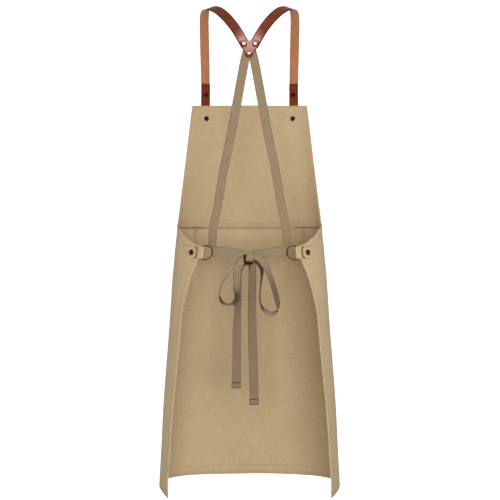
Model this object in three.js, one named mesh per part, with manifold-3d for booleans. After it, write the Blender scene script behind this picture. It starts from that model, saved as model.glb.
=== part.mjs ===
// Bib apron with crossed back straps, in the shape it has when worn.
// Millimetres, +Z up, +Y the way the wearer faces, +X to the wearer's right.
// The origin is midway between the shoulders, level with the undersides of the straps.
import * as THREE from "three";
import { mergeVertices } from "three/addons/utils/BufferGeometryUtils.js";
import Module from "manifold-3d";

const wasm = await Module();
wasm.setup();

// Thicknesses and widths of the materials
const CLOTH = 1.2;
const LEATHER = 2;
const WEB = 1.4;
const STRAP_WIDTH = 21;
const WEB_WIDTH = 19;
const TAB_WIDTH = 25;
const GAP = 0.3;

// Heights of the cut cloth, the droop of the bib's top corners and of the wings' lower corners, and the
// folded hem round the edge
const BIB_TOP = -191;
const BIB_DROOP = 4.8;
const BIB_DROOP_FOOT = -300;
const HEM_FOOT = -1042;
const HEM_DROOP = 5;
const HEM_DROOP_TOP = -900;
const HEM = 12;
const HEM_FOLD = 1.2;
const HEM_STEP = 1.5;
const HEM_RUN_MOST = 40;

// Facing of the bib: its lower edge, how far it stops short of the bib's edge, its widest half width,
// how far its lower corners droop, and how far its lower edge waves off the bib
const FACING_FOOT = -472.2;
const FACING_INSET = 2;
const FACING_GAP = 0.8;
const FACING_HALF = 212;
const FACING_DROOP = 1.2;
const FACING_LIFT = 4;
const FACING_LIFT_HEIGHT = 40;

// Side fastening. Distances are measured round the body from the middle of the front.
const TAB_HEIGHT = -530.5;
const WING_END = 336;
const TAB_INNER_END = 305;
const TAB_TIP = 302;
const TAB_STUD_AT = 316;
const TAB_RETURN = 330.5;
const TAB_TIP_LIFT = 2;
const TAB_OUTSIDE = 0.9;
const TAB_INSIDE = -4.1;
const RING_BAR_AT = 342;
const RING_DEPTH = -1.2;
const RING_WIRE = 1.5;
const RING_HALF_HEIGHT = 15;
const RING_REACH = 25;
const RING_CORNER = 3;

// Shoulder straps where they lie on the bib
const STRAP_X = 101;
const STRAP_FOLD = -236;
const STRAP_END = -142.5;
const STRAP_STRAIGHT_TOP = -161;
const STRAP_LIFT_OFF = -150;
const BIB_STUD_HEIGHT = -223;
const STRAP_STUD_HEIGHT = -168;
const STRAP_INNER = GAP + LEATHER / 2;
const STRAP_OUTER = STRAP_INNER + LEATHER + GAP;

// Cross of the straps: its centre, the lean of its plane, and the places of its rivets in that plane
const CROSS_CENTRE = new THREE.Vector3(0, -108.5, -105);
const CROSS_LEAN = THREE.MathUtils.degToRad(73);
const CROSS_RIVET = { x: 11.8, y: 8.8 };
const BOTTOM_RIVET = { x: -1, y: -13.8 };
const PATCH_GAP = 0.5;
const PATCH_INNER = LEATHER / 2 + PATCH_GAP;
const UPPER_WEB = PATCH_INNER - PATCH_GAP - WEB / 2;
const LOWER_WEB = UPPER_WEB - WEB - GAP;

// Back webbing and waist ties where they meet the ring
const WEB_AT = 357.5;
const WEB_DEPTH = -4.6;
const WEB_FOOT = -524;
const TIE_OUTSIDE = 0.9;

// Knot of the bow
const KNOT = { y: -118, z: -541, halfWidth: 9.5, halfDepth: 7.5, halfHeight: 12.5 };

// Metal studs and rivets: a domed cap, a post and a washer
const STUD = { cap: 5.5, rise: 2, post: 1.6, washer: 5.6, washerDepth: 1.2 };
const TAB_STUD = { cap: 6.6, rise: 2.2, post: 1.6, washer: 5, washerDepth: 1.2 };
const RIVET = { cap: 6.2, rise: 2.4, post: 1.6, washer: 5, washerDepth: 1.2 };
const SEAT = 0.1;
const CLOTH_SEAT = 0.5;

// Level sections of the cloth round the body.
// halfWidth is where the section is widest, frontY its front, wideY the depth of the widest place,
// backDepth how far the curve would run back from there, squareness how flat the front is, and
// backSquareness the same for the back: 2 is an ellipse and less is straighter beside the widest place.
const SECTIONS = [
  { z: -191, halfWidth: 163, frontY: 112, wideY: 5, backDepth: 104, squareness: 2.5, backSquareness: 2 },
  { z: -330, halfWidth: 162, frontY: 115, wideY: 5, backDepth: 102, squareness: 2.5, backSquareness: 2 },
  { z: -476, halfWidth: 160, frontY: 113, wideY: 5, backDepth: 100, squareness: 2.4, backSquareness: 2 },
  { z: -515, halfWidth: 163.5, frontY: 112.7, wideY: 6, backDepth: 111.4, squareness: 2.47, backSquareness: 2 },
  { z: -550, halfWidth: 166.7, frontY: 112.4, wideY: 6.9, backDepth: 121.7, squareness: 2.53, backSquareness: 2 },
  { z: -592, halfWidth: 170.5, frontY: 112, wideY: 8, backDepth: 134, squareness: 2.6, backSquareness: 2 },
  { z: -680, halfWidth: 176, frontY: 112, wideY: 8, backDepth: 168, squareness: 2.75, backSquareness: 2 },
  { z: -856, halfWidth: 189, frontY: 112, wideY: 8, backDepth: 200, squareness: 2.9, backSquareness: 2 },
  { z: -968, halfWidth: 195, frontY: 112.5, wideY: 9, backDepth: 277, squareness: 2.95, backSquareness: 1.68 },
  { z: -1042, halfWidth: 199.5, frontY: 113, wideY: 10, backDepth: 380, squareness: 3, backSquareness: 1.35 },
];

// Half width of the flat cut at each height: bib side, armhole, end of the wing, flared skirt
const CUT = [
  { z: -191, half: 137.5 },
  { z: -323, half: 159 },
  { z: -414, half: 181.5 },
  { z: -448, half: 196 },
  { z: -465, half: 209 },
  { z: -478, half: 249 },
  { z: -489, half: 267 },
  { z: -503.5, half: 296 },
  { z: -512.5, half: 317 },
  { z: -517.5, half: WING_END },
  { z: -546, half: WING_END },
  { z: -585, half: 330 },
  { z: -640, half: 330.5 },
  { z: -700, half: 339.5 },
  { z: -770, half: 347.5 },
  { z: -841, half: 354 },
  { z: -905, half: 362 },
  { z: -968, half: 366.5 },
  { z: -1042, half: 364.5 },
];

// Heights of the panel's grid between its hems, close together where the armhole curves
const SKIRT_ROWS = [-970, -885, -800, -720, -655, -605, -570, -546, -531];
const ARMHOLE_ROWS = [-517.5, -511, -503, -495, -487, -479, -472, -464, -455, -445];
const BIB_ROWS = [-425, -390, -350, -305, -260, -225];
const FACING_ROWS = [-464, -450, -425, -390, -345, -300, -250];

// Left shoulder strap above the bib: its centre line and the way its smooth side faces
const SHOULDER = [
  { x: -102, y: 86, z: -95, nx: -0.22, ny: 0.9, nz: 0.36 },
  { x: -102, y: 58, z: -44, nx: -0.25, ny: 0.7, nz: 0.67 },
  { x: -101, y: 29, z: -10, nx: -0.3, ny: 0.35, nz: 0.9 },
  { x: -97, y: 4, z: 3, nx: -0.34, ny: 0.05, nz: 0.94 },
  { x: -87, y: -15, z: 3.4, nx: -0.36, ny: -0.3, nz: 0.88 },
  { x: -72, y: -31, z: -3.4, nx: -0.4, ny: -0.52, nz: 0.75 },
  { x: -50.8, y: -60, z: -26, nx: -0.4, ny: -0.74, nz: 0.54 },
  { x: -29.5, y: -88, z: -58, nx: -0.14, ny: -0.92, nz: 0.37 },
];

// Left back webbing below the cross
const BACK_WEB = [
  { x: -17.7, y: -119, z: -172, nx: -0.05, ny: -0.99, nz: 0.05 },
  { x: -25.2, y: -120, z: -214, nx: -0.08, ny: -0.99, nz: 0 },
  { x: -41, y: -115, z: -297, nx: -0.14, ny: -0.98, nz: -0.06 },
  { x: -54.2, y: -108, z: -359, nx: -0.2, ny: -0.97, nz: -0.1 },
  { x: -66.8, y: -99.5, z: -431.6, nx: -0.26, ny: -0.95, nz: -0.12 },
  { x: -76.6, y: -92, z: -479.7, nx: -0.32, ny: -0.94, nz: -0.1 },
];

// Loops of the bow. turn is the angle, in degrees, between the width of the band and the plane that
// faces straight back: 0 shows the whole face and 90 only the edge.
const LOOP_LEFT = [
  { x: -9, y: -120.5, z: -542, turn: 0, width: 10 },
  { x: -16, y: -122.5, z: -549, turn: -10, width: 14 },
  { x: -22.5, y: -125, z: -564, turn: -15, width: 18 },
  { x: -24.6, y: -127, z: -584, turn: -20, width: 19 },
  { x: -25.4, y: -127.5, z: -606, turn: -40, width: 19 },
  { x: -26.6, y: -127, z: -622, turn: -94, width: 19 },
  { x: -31.5, y: -126.5, z: -633, turn: -118, width: 19 },
  { x: -42.9, y: -125, z: -638.2, turn: -98, width: 19 },
  { x: -54.4, y: -124, z: -635, turn: -105, width: 19 },
  { x: -61.5, y: -123, z: -625, turn: -100, width: 19 },
  { x: -62, y: -122, z: -610.4, turn: -80, width: 19 },
  { x: -56.5, y: -121, z: -591.7, turn: -71, width: 19 },
  { x: -47.1, y: -120, z: -575, turn: -62, width: 18 },
  { x: -34.6, y: -119, z: -558.3, turn: -44, width: 16 },
  { x: -22, y: -117.5, z: -547.4, turn: -18, width: 13 },
  { x: -9, y: -116.5, z: -541, turn: 0, width: 12 },
];
const LOOP_RIGHT = [
  { x: 9, y: -122, z: -538.5, turn: 0, width: 11 },
  { x: 22, y: -124.5, z: -543, turn: -15, width: 15 },
  { x: 33.5, y: -126, z: -557.3, turn: -38, width: 19 },
  { x: 42.5, y: -126.5, z: -579, turn: -54, width: 19 },
  { x: 49, y: -127, z: -599, turn: -55, width: 19 },
  { x: 55, y: -127, z: -620, turn: -55, width: 19 },
  { x: 59, y: -127, z: -639.6, turn: -63, width: 19 },
  { x: 57, y: -126.5, z: -651.5, turn: -96, width: 19 },
  { x: 46.7, y: -126, z: -657.5, turn: -120, width: 19 },
  { x: 33.1, y: -125, z: -652.6, turn: -118, width: 19 },
  { x: 24, y: -124, z: -639.6, turn: -98, width: 19 },
  { x: 21.2, y: -123.5, z: -621.9, turn: -95, width: 19 },
  { x: 23.1, y: -123, z: -599, turn: -97, width: 19 },
  { x: 25, y: -121.5, z: -580.2, turn: -104, width: 18 },
  { x: 25, y: -119.5, z: -566, turn: -120, width: 16 },
  { x: 19.5, y: -117.5, z: -553, turn: -150, width: 13 },
  { x: 9, y: -117, z: -545, turn: -180, width: 10 },
];

// Free ends of the bow
const TAIL_LEFT = [
  { x: -8, y: -116, z: -553, turn: 0, width: 9 },
  { x: -18, y: -115.5, z: -560, turn: 0, width: 12 },
  { x: -24, y: -115, z: -576, turn: 0, width: 16 },
  { x: -25, y: -115.5, z: -630, turn: 4, width: 19 },
  { x: -26.5, y: -116, z: -690, turn: 6, width: 19 },
  { x: -27, y: -116.5, z: -750, turn: 0, width: 19 },
  { x: -27.4, y: -117, z: -812, turn: 0, width: 19 },
];
const TAIL_RIGHT = [
  { x: 7, y: -115, z: -551, turn: 0, width: 11 },
  { x: 7.5, y: -115, z: -582, turn: 0, width: 17 },
  { x: 7, y: -115, z: -630, turn: -4, width: 19 },
  { x: 8, y: -115.5, z: -700, turn: -3, width: 19 },
  { x: 8.8, y: -116, z: -780, turn: 0, width: 19 },
  { x: 9.2, y: -116.5, z: -847, turn: 0, width: 19 },
];

const { degToRad, lerp, smoothstep } = THREE.MathUtils;
const range = (count, each) => Array.from({ length: count }, (_, i) => each(i));

// Smooth interpolation of one column of a table whose rows run from high to low, without overshoot
function column(rows, key, z) {
  const last = rows.length - 1;
  if (z >= rows[0].z) return rows[0][key];
  if (z <= rows[last].z) return rows[last][key];
  const i = rows.findIndex((row) => row.z <= z) - 1;
  const run = (k) => rows[k + 1].z - rows[k].z;
  const slope = (k) => (rows[k + 1][key] - rows[k][key]) / run(k);
  const tangent = (k) => {
    if (k === 0) return slope(0);
    if (k === last) return slope(last - 1);
    const [before, after] = [slope(k - 1), slope(k)];
    return before * after <= 0 ? 0 : (2 * before * after) / (before + after);
  };
  const h = run(i);
  const t = (z - rows[i].z) / h;
  const [t2, t3] = [t * t, t * t * t];
  return (
    (2 * t3 - 3 * t2 + 1) * rows[i][key] +
    (t3 - 2 * t2 + t) * h * tangent(i) +
    (3 * t2 - 2 * t3) * rows[i + 1][key] +
    (t3 - t2) * h * tangent(i + 1)
  );
}

const SECTION_STEPS = 160;
const sections = new Map();

// The section at a height as a line of points from the middle of the front round one side to the
// middle of the back: a superellipse quarter for the front and another for the back
function sectionLine(z) {
  if (sections.has(z)) return sections.get(z);
  const at = (key) => column(SECTIONS, key, z);
  const [wide, wideY, back] = [at("halfWidth"), at("wideY"), at("backDepth")];
  const front = at("frontY") - wideY;
  const power = 2 / at("squareness");
  const backPower = 2 / at("backSquareness");
  const quarter = range(SECTION_STEPS + 1, (i) => (Math.PI / 2) * (i / SECTION_STEPS));
  const points = [
    ...quarter.map((t) => [wide * Math.sin(t) ** power, wideY + front * Math.abs(Math.cos(t)) ** power]),
    ...quarter.slice(1).map((t) => [
      wide * Math.abs(Math.cos(t)) ** backPower,
      wideY - back * Math.sin(t) ** backPower,
    ]),
  ];
  const along = [0];
  for (let i = 1; i < points.length; i++) {
    const step = Math.hypot(points[i][0] - points[i - 1][0], points[i][1] - points[i - 1][1]);
    along.push(along[i - 1] + step);
  }
  sections.set(z, { points, along });
  return sections.get(z);
}

// Point of the cloth at a distance s round the body from the middle of the front, at height z
function clothPoint(s, z) {
  const { points, along } = sectionLine(z);
  const reach = Math.min(Math.abs(s), along.at(-1));
  let [low, high] = [0, along.length - 1];
  while (high - low > 1) {
    const middle = (low + high) >> 1;
    if (along[middle] <= reach) low = middle;
    else high = middle;
  }
  const t = (reach - along[low]) / (along[high] - along[low]);
  const x = lerp(points[low][0], points[high][0], t);
  const y = lerp(points[low][1], points[high][1], t);
  return new THREE.Vector3(Math.sign(s) * x, y, z);
}

// Unit vectors at a place on the cloth: round the body, up the cloth, and out of it
function clothFrame(s, z) {
  const d = 2;
  const around = clothPoint(s + d, z).sub(clothPoint(s - d, z)).normalize();
  const lift = clothPoint(s, z + d).sub(clothPoint(s, z - d));
  const out = new THREE.Vector3().crossVectors(lift, around).normalize();
  const up = new THREE.Vector3().crossVectors(around, out);
  return { around, up, out };
}

// Place at a distance off the outer face of the cloth
function offCloth(s, z, distance) {
  return clothPoint(s, z).addScaledVector(clothFrame(s, z).out, distance);
}

// Closed wall between two grids of points of the same size. The first grid is the outer face: its
// columns run across and its rows along, so that across, along and outwards are right-handed.
function wall(face, back) {
  const [rows, columns] = [face.length, face[0].length];
  const positions = [...face.flat(), ...back.flat()].flatMap((p) => [p.x, p.y, p.z]);
  const at = (i, j) => i * columns + j;
  const shift = rows * columns;
  const index = [];
  const quad = (a, b, c, d) => index.push(a, b, c, a, c, d);
  for (let i = 0; i < rows - 1; i++) {
    for (let j = 0; j < columns - 1; j++) {
      const [a, b, c, d] = [at(i, j), at(i, j + 1), at(i + 1, j + 1), at(i + 1, j)];
      quad(a, b, c, d);
      quad(d + shift, c + shift, b + shift, a + shift);
    }
  }
  const rim = [
    ...range(columns - 1, (j) => at(0, j)),
    ...range(rows - 1, (i) => at(i, columns - 1)),
    ...range(columns - 1, (j) => at(rows - 1, columns - 1 - j)),
    ...range(rows - 1, (i) => at(rows - 1 - i, 0)),
  ];
  rim.forEach((a, k) => {
    const b = rim[(k + 1) % rim.length];
    quad(b, a, a + shift, b + shift);
  });
  const geometry = new THREE.BufferGeometry();
  geometry.setAttribute("position", new THREE.Float32BufferAttribute(positions, 3));
  geometry.setIndex(index);
  return geometry;
}

// Flat band through stations that each hold a point, an outward normal, a width direction and a width
function bandThrough(stations, thickness) {
  const side = (half) =>
    stations.map(({ point, normal, across, width }) =>
      [-width / 2, width / 2].map((w) =>
        point.clone().addScaledVector(across, w).addScaledVector(normal, half),
      ),
    );
  return wall(side(thickness / 2), side(-thickness / 2));
}

const curveThrough = (rows, [x, y, z]) =>
  new THREE.CatmullRomCurve3(rows.map((row) => new THREE.Vector3(row[x], row[y], row[z])));

// Stations along a smooth curve through table rows whose face looks along nx, ny, nz
function facingStations(rows, width, steps) {
  const line = curveThrough(rows, ["x", "y", "z"]);
  const facing = curveThrough(rows, ["nx", "ny", "nz"]);
  return range(steps + 1, (i) => {
    const tangent = line.getTangent(i / steps);
    const normal = facing.getPoint(i / steps);
    normal.addScaledVector(tangent, -normal.dot(tangent)).normalize();
    const across = new THREE.Vector3().crossVectors(tangent, normal);
    return { point: line.getPoint(i / steps), normal, across, width };
  });
}

// Stations along a smooth curve through table rows whose width is turned out of the plane that faces
// straight back
function turningStations(rows, steps) {
  const line = curveThrough(rows, ["x", "y", "z"]);
  const forms = curveThrough(rows, ["turn", "width", "width"]);
  return range(steps + 1, (i) => {
    const tangent = line.getTangent(i / steps);
    const form = forms.getPoint(i / steps);
    const turn = degToRad(form.x);
    const across = new THREE.Vector3(-tangent.z, 0, tangent.x).setLength(Math.cos(turn));
    across.y -= Math.sin(turn);
    across.addScaledVector(tangent, -across.dot(tangent)).normalize();
    const normal = new THREE.Vector3().crossVectors(across, tangent);
    return { point: line.getPoint(i / steps), normal, across, width: form.y };
  });
}

// Band that follows the left side of the body, flat across its width. Its path is drawn level: at is
// the distance round the body and off the distance from the cloth. midHeight gives its middle's height.
function bodyBand(path, midHeight, width, thickness) {
  const sides = path.map((_, i) => {
    const before = path[Math.max(0, i - 1)];
    const after = path[Math.min(path.length - 1, i + 1)];
    const length = Math.hypot(after.at - before.at, after.off - before.off);
    return { at: (before.off - after.off) / length, off: (after.at - before.at) / length };
  });
  const grid = (half) =>
    path.map(({ at, off }, i) => {
      const z = midHeight(at);
      const s = -at - half * sides[i].at;
      const point = offCloth(s, z, off + half * sides[i].off);
      const { up } = clothFrame(s, z);
      return [width / 2, -width / 2].map((w) => point.clone().addScaledVector(up, w));
    });
  return wall(grid(thickness / 2), grid(-thickness / 2));
}

// Stretch of a level path: an arc about a centre, with angles in degrees from the way that at grows
function arcPath(centre, radius, from, to, steps) {
  return range(steps + 1, (i) => {
    const angle = degToRad(lerp(from, to, i / steps));
    return { at: centre.at + radius * Math.cos(angle), off: centre.off + radius * Math.sin(angle) };
  });
}

// Solid of a closed geometry
function solidOf(geometry) {
  const bare = geometry.clone();
  bare.deleteAttribute("normal");
  bare.deleteAttribute("uv");
  const merged = mergeVertices(bare, 1e-4);
  const vertProperties = new Float32Array(merged.attributes.position.array);
  const triVerts = new Uint32Array(merged.index.array);
  return new wasm.Manifold(new wasm.Mesh({ numProp: 3, vertProperties, triVerts }));
}

// Geometry with the shapes of the tools cut away
function cut(geometry, tools) {
  const mesh = tools.reduce((left, tool) => left.subtract(solidOf(tool)), solidOf(geometry)).getMesh();
  const result = new THREE.BufferGeometry();
  result.setAttribute("position", new THREE.BufferAttribute(mesh.vertProperties, 3));
  result.setIndex(new THREE.BufferAttribute(mesh.triVerts, 1));
  return result;
}

const mirrored = ({ point, normal }) => ({
  point: point.clone().setX(-point.x),
  normal: normal.clone().setX(-normal.x),
});

// Stands a geometry that rises along +Y at a place, along the place's normal
function standAt(geometry, { point, normal }) {
  const turn = new THREE.Quaternion().setFromUnitVectors(new THREE.Vector3(0, 1, 0), normal);
  return geometry.applyQuaternion(turn).translate(point.x, point.y, point.z);
}

const HOLE_LENGTH = 24;
const HOLE_SIDES = 10;
const BOW_SIDES = 24;

// Round cutter for the post of a stud or rivet
function hole(size, place) {
  const radius = size.post + GAP;
  return standAt(new THREE.CylinderGeometry(radius, radius, HOLE_LENGTH, HOLE_SIDES), place);
}

const pairOfHoles = (size, place) => [hole(size, place), hole(size, mirrored(place))];

// Stud or rivet: the place is where its cap sits, and depth is the stack that its post goes through
function fastener(size, depth, place) {
  const domeSteps = 3;
  const brim = 0.4;
  const foot = -depth - size.washerDepth;
  const shank = [[0, foot], [size.washer - brim, foot], [size.washer, -depth], [size.post, -depth]];
  const dome = range(domeSteps + 1, (i) => {
    const t = (Math.PI / 2) * (i / domeSteps);
    return [i < domeSteps ? size.cap * Math.cos(t) : 0, brim + (size.rise - brim) * Math.sin(t)];
  });
  const profile = [...shank, [size.post, 0], [size.cap, 0], ...dome];
  const points = profile.map(([radius, height]) => new THREE.Vector2(radius, height));
  return standAt(new THREE.LatheGeometry(points, 9), place);
}

// The panel: one wall on the body, doubled in its hem, whose width is kept along slanting edges
function panelGeometry() {
  const columnsPerSide = 11;
  const foot = [HEM_FOOT, HEM_FOOT + HEM, HEM_FOOT + HEM + HEM_STEP];
  const top = [BIB_TOP - HEM - HEM_STEP, BIB_TOP - HEM, BIB_TOP];
  const rows = [...foot, ...SKIRT_ROWS, ...ARMHOLE_ROWS, ...BIB_ROWS, ...top];
  const face = [];
  const back = [];
  rows.forEach((z, i) => {
    const half = column(CUT, "half", z);
    const slope = (column(CUT, "half", z + 1) - column(CUT, "half", z - 1)) / 2;
    const inner = half - Math.min(HEM_RUN_MOST, HEM * Math.hypot(1, slope));
    const flat = inner - HEM_STEP;
    const side = [...range(columnsPerSide, (k) => (flat * (k + 1)) / columnsPerSide), inner, half];
    const line = [...side.toReversed(), 0, ...side.map((s) => -s)];
    const hemRow = i < 2 || i >= rows.length - 2;
    const bibDroop = BIB_DROOP * smoothstep(z, BIB_DROOP_FOOT, BIB_TOP);
    const hemDroop = HEM_DROOP * (1 - smoothstep(z, HEM_FOOT, HEM_DROOP_TOP));
    const height = (s) => z - (bibDroop + hemDroop) * (s / half) ** 2;
    const depth = (s) => (hemRow || Math.abs(s) >= inner ? CLOTH + HEM_FOLD : CLOTH);
    face.push(line.map((s) => clothPoint(s, height(s))));
    back.push(line.map((s) => offCloth(s, height(s), -depth(s))));
  });
  return wall(face, back);
}

// The facing: a wall inside the bib, whose lower edge waves off it a little on each side
function facingGeometry() {
  const columnsPerSide = 11;
  const rows = [FACING_FOOT, ...FACING_ROWS, BIB_TOP - FACING_INSET];
  const depth = -CLOTH - HEM_FOLD - FACING_GAP;
  const shares = range(2 * columnsPerSide + 1, (k) => 1 - k / columnsPerSide);
  const face = [];
  const back = [];
  for (const z of rows) {
    const half = Math.min(FACING_HALF, column(CUT, "half", z) - FACING_INSET);
    const low = smoothstep(FACING_FOOT + FACING_LIFT_HEIGHT - z, 0, FACING_LIFT_HEIGHT);
    const high = smoothstep(z, BIB_DROOP_FOOT, BIB_TOP);
    const height = (t) => z - (BIB_DROOP * high + FACING_DROOP * low) * t * t;
    const wave = (t) => smoothstep(t, 0.55, 0.75) * (1 - 0.45 * smoothstep(t, 0.78, 1));
    const lift = (t) => FACING_LIFT * low * wave(Math.abs(t));
    face.push(shares.map((t) => offCloth(half * t, height(t), depth - lift(t))));
    back.push(shares.map((t) => offCloth(half * t, height(t), depth - CLOTH - lift(t))));
  }
  return wall(face, back);
}

// Distance round the body where the straps lie on the bib
function strapPlace() {
  let [low, high] = [0, FACING_HALF];
  while (high - low > 0.01) {
    const middle = (low + high) / 2;
    if (clothPoint(middle, STRAP_FOLD).x < STRAP_X) low = middle;
    else high = middle;
  }
  return low;
}

const strapFrame = clothFrame(-strapPlace(), STRAP_FOLD);
const strapFoot = clothPoint(-strapPlace(), STRAP_FOLD);

// Station of the left strap beside the bib, at a height, a distance off the bib and a turn of its face
function strapStation(z, distance, turn = 0) {
  const { around, up, out } = strapFrame;
  const rise = (z - STRAP_FOLD) / up.z;
  const point = strapFoot.clone().addScaledVector(up, rise).addScaledVector(out, distance);
  const normal = out.clone().multiplyScalar(Math.cos(turn)).addScaledVector(up, -Math.sin(turn));
  return { point, normal, across: around.clone().negate(), width: STRAP_WIDTH };
}

// Place in the plane of the cross, at a distance outwards from it
function crossPlace(x, y, distance) {
  const lean = new THREE.Euler(CROSS_LEAN, 0, 0);
  const point = new THREE.Vector3(x, y, distance).applyEuler(lean).add(CROSS_CENTRE);
  return { point, normal: new THREE.Vector3(0, 0, 1).applyEuler(lean) };
}

// Row for a table of stations, from a place
function rowAt({ point, normal }) {
  return { x: point.x, y: point.y, z: point.z, nx: normal.x, ny: normal.y, nz: normal.z };
}

// Places of the caps of the studs and rivets
const strapFace = STRAP_OUTER + LEATHER / 2 + SEAT;
const patchFace = PATCH_INNER + LEATHER + SEAT;
const tabFace = TAB_OUTSIDE + CLOTH + GAP + CLOTH / 2 + SEAT;
const bibStudPlace = strapStation(BIB_STUD_HEIGHT, strapFace);
const strapStudPlace = strapStation(STRAP_STUD_HEIGHT, strapFace);
const sideRivetPlace = crossPlace(-CROSS_RIVET.x, CROSS_RIVET.y, patchFace);
const bottomRivetPlace = crossPlace(BOTTOM_RIVET.x, BOTTOM_RIVET.y, patchFace);
const tabStudPlace = {
  point: offCloth(-TAB_STUD_AT, TAB_HEIGHT, tabFace),
  normal: clothFrame(-TAB_STUD_AT, TAB_HEIGHT).out,
};

// The left strap: its free end folded up beside the bib, over the shoulder and down to the cross,
// where it is trimmed to meet the other strap
function strapGeometry() {
  const foldSteps = 6;
  const shoulderSteps = 30;
  const fold = (STRAP_OUTER - STRAP_INNER) / 2;
  const inner = [STRAP_END, BIB_TOP, STRAP_FOLD + fold].map((z) => strapStation(z, STRAP_INNER, Math.PI));
  const bend = range(foldSteps - 1, (i) => {
    const turn = Math.PI * (1 - (i + 1) / foldSteps);
    const z = STRAP_FOLD + fold * (1 - Math.sin(turn));
    return strapStation(z, STRAP_INNER + fold * (1 + Math.cos(turn)), turn);
  });
  const start = [STRAP_STRAIGHT_TOP, STRAP_LIFT_OFF].map((z) => rowAt(strapStation(z, STRAP_OUTER)));
  const end = [[-17.1, 25], [-12.6, 16], [-7.8, 6.5]].map(([x, y]) => rowAt(crossPlace(x, y, 0)));
  const shoulder = facingStations([...start, ...SHOULDER, ...end], STRAP_WIDTH, shoulderSteps);
  const stations = [...inner, ...bend, strapStation(STRAP_FOLD + fold, STRAP_OUTER), ...shoulder];
  const trim = new THREE.BoxGeometry(40, 60, 60).translate(20 - GAP / 2, CROSS_CENTRE.y, CROSS_CENTRE.z);
  const holes = [hole(STUD, bibStudPlace), hole(STUD, strapStudPlace), hole(RIVET, sideRivetPlace)];
  return cut(bandThrough(stations, LEATHER), [trim, ...holes]);
}

// The patch: a leather shield over the ends of the straps, with two lobes and a rounded foot
function patchGeometry() {
  const shape = new THREE.Shape();
  shape.moveTo(-16, 18);
  shape.quadraticCurveTo(-21.5, 17, -20, 13);
  shape.lineTo(-15.2, -1);
  shape.quadraticCurveTo(-12.5, -7, -8.6, -14.2);
  shape.quadraticCurveTo(-8.4, -21.6, -1, -21.6);
  shape.quadraticCurveTo(6.4, -21.6, 6.6, -14.2);
  shape.quadraticCurveTo(11.5, -7, 15.2, -1);
  shape.lineTo(20, 13);
  shape.quadraticCurveTo(21.5, 17, 16, 18);
  shape.quadraticCurveTo(6, 20.5, 0, 18);
  shape.quadraticCurveTo(-6, 20.5, -16, 18);
  for (const { x, y } of [BOTTOM_RIVET, CROSS_RIVET, { x: -CROSS_RIVET.x, y: CROSS_RIVET.y }]) {
    shape.holes.push(new THREE.Path().absarc(x, y, RIVET.post + GAP, 0, 2 * Math.PI));
  }
  return new THREE.ExtrudeGeometry(shape, { depth: LEATHER, bevelEnabled: false, curveSegments: 5 });
}

// A strip of back webbing, modelled on the left, from under the patch to behind the bow of the ring
function webGeometry(layer, rivetPlace) {
  const steps = 26;
  const under = [[-4, -1.5], [-6.7, -13], [-9.2, -23]];
  const top = under.map(([x, y]) => rowAt(crossPlace(x, y, layer)));
  const foot = [TAB_HEIGHT + 15, WEB_FOOT].map((z) =>
    rowAt({ point: offCloth(-WEB_AT, z, WEB_DEPTH), normal: clothFrame(-WEB_AT, z).out }),
  );
  const band = bandThrough(facingStations([...top, ...BACK_WEB, ...foot], WEB_WIDTH, steps), WEB);
  return cut(band, [hole(RIVET, rivetPlace), bowOpening()]);
}

// The tab: from inside the wing round the bar of the ring, back outside, and its tip folded over, with
// the end of the tip standing up a little
function tabGeometry() {
  const bend = RING_WIRE + GAP + CLOTH / 2;
  const fold = (CLOTH + GAP) / 2;
  const top = TAB_OUTSIDE + 2 * fold;
  const between = [TAB_STUD_AT - 7, TAB_STUD_AT + 7, TAB_STUD_AT + 11];
  const path = [
    ...[TAB_INNER_END, ...between].map((at) => ({ at, off: TAB_INSIDE })),
    { at: WING_END - 2, off: TAB_INSIDE + 0.2 },
    ...arcPath({ at: RING_BAR_AT, off: RING_DEPTH }, bend, -90, 90, 8),
    { at: WING_END - 3, off: TAB_OUTSIDE + 0.1 },
    ...between.toReversed().map((at) => ({ at, off: TAB_OUTSIDE })),
    ...arcPath({ at: TAB_TIP + fold, off: TAB_OUTSIDE + fold }, fold, 270, 90, 4),
    ...between.slice(0, 2).map((at) => ({ at, off: top })),
    { at: between[2], off: top + TAB_TIP_LIFT / 4 },
    { at: TAB_RETURN, off: top + TAB_TIP_LIFT },
  ];
  const band = bodyBand(path, () => TAB_HEIGHT, TAB_WIDTH, CLOTH);
  return cut(band, [hole(TAB_STUD, tabStudPlace)]);
}

// The D-ring in its own plane: a straight bar with a split, round corners and a bow
function ringGeometry() {
  const steps = 28;
  const split = 0.5;
  const [corner, half] = [RING_CORNER, RING_HALF_HEIGHT];
  const line = new THREE.Path();
  line.moveTo(0, -split);
  line.lineTo(0, corner - half);
  line.quadraticCurveTo(0, -half, corner, -half);
  line.absellipse(corner, 0, RING_REACH - corner, half, -Math.PI / 2, Math.PI / 2);
  line.quadraticCurveTo(0, half, 0, half - corner);
  line.lineTo(0, split);
  const points = line.getSpacedPoints(steps).map((p) => new THREE.Vector3(p.x, p.y, 0));
  const extrudePath = new THREE.CatmullRomCurve3(points);
  const wire = new THREE.Shape().absarc(0, 0, RING_WIRE, 0, 2 * Math.PI);
  return new THREE.ExtrudeGeometry(wire, { steps, extrudePath, curveSegments: 4 });
}

const ringFrame = clothFrame(-RING_BAR_AT, TAB_HEIGHT);
const ringOrigin = offCloth(-RING_BAR_AT, TAB_HEIGHT, RING_DEPTH);
const ringReachWay = ringFrame.around.clone().negate();
const ringTurn = new THREE.Matrix4().makeBasis(ringReachWay, ringFrame.up, ringFrame.out);

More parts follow.
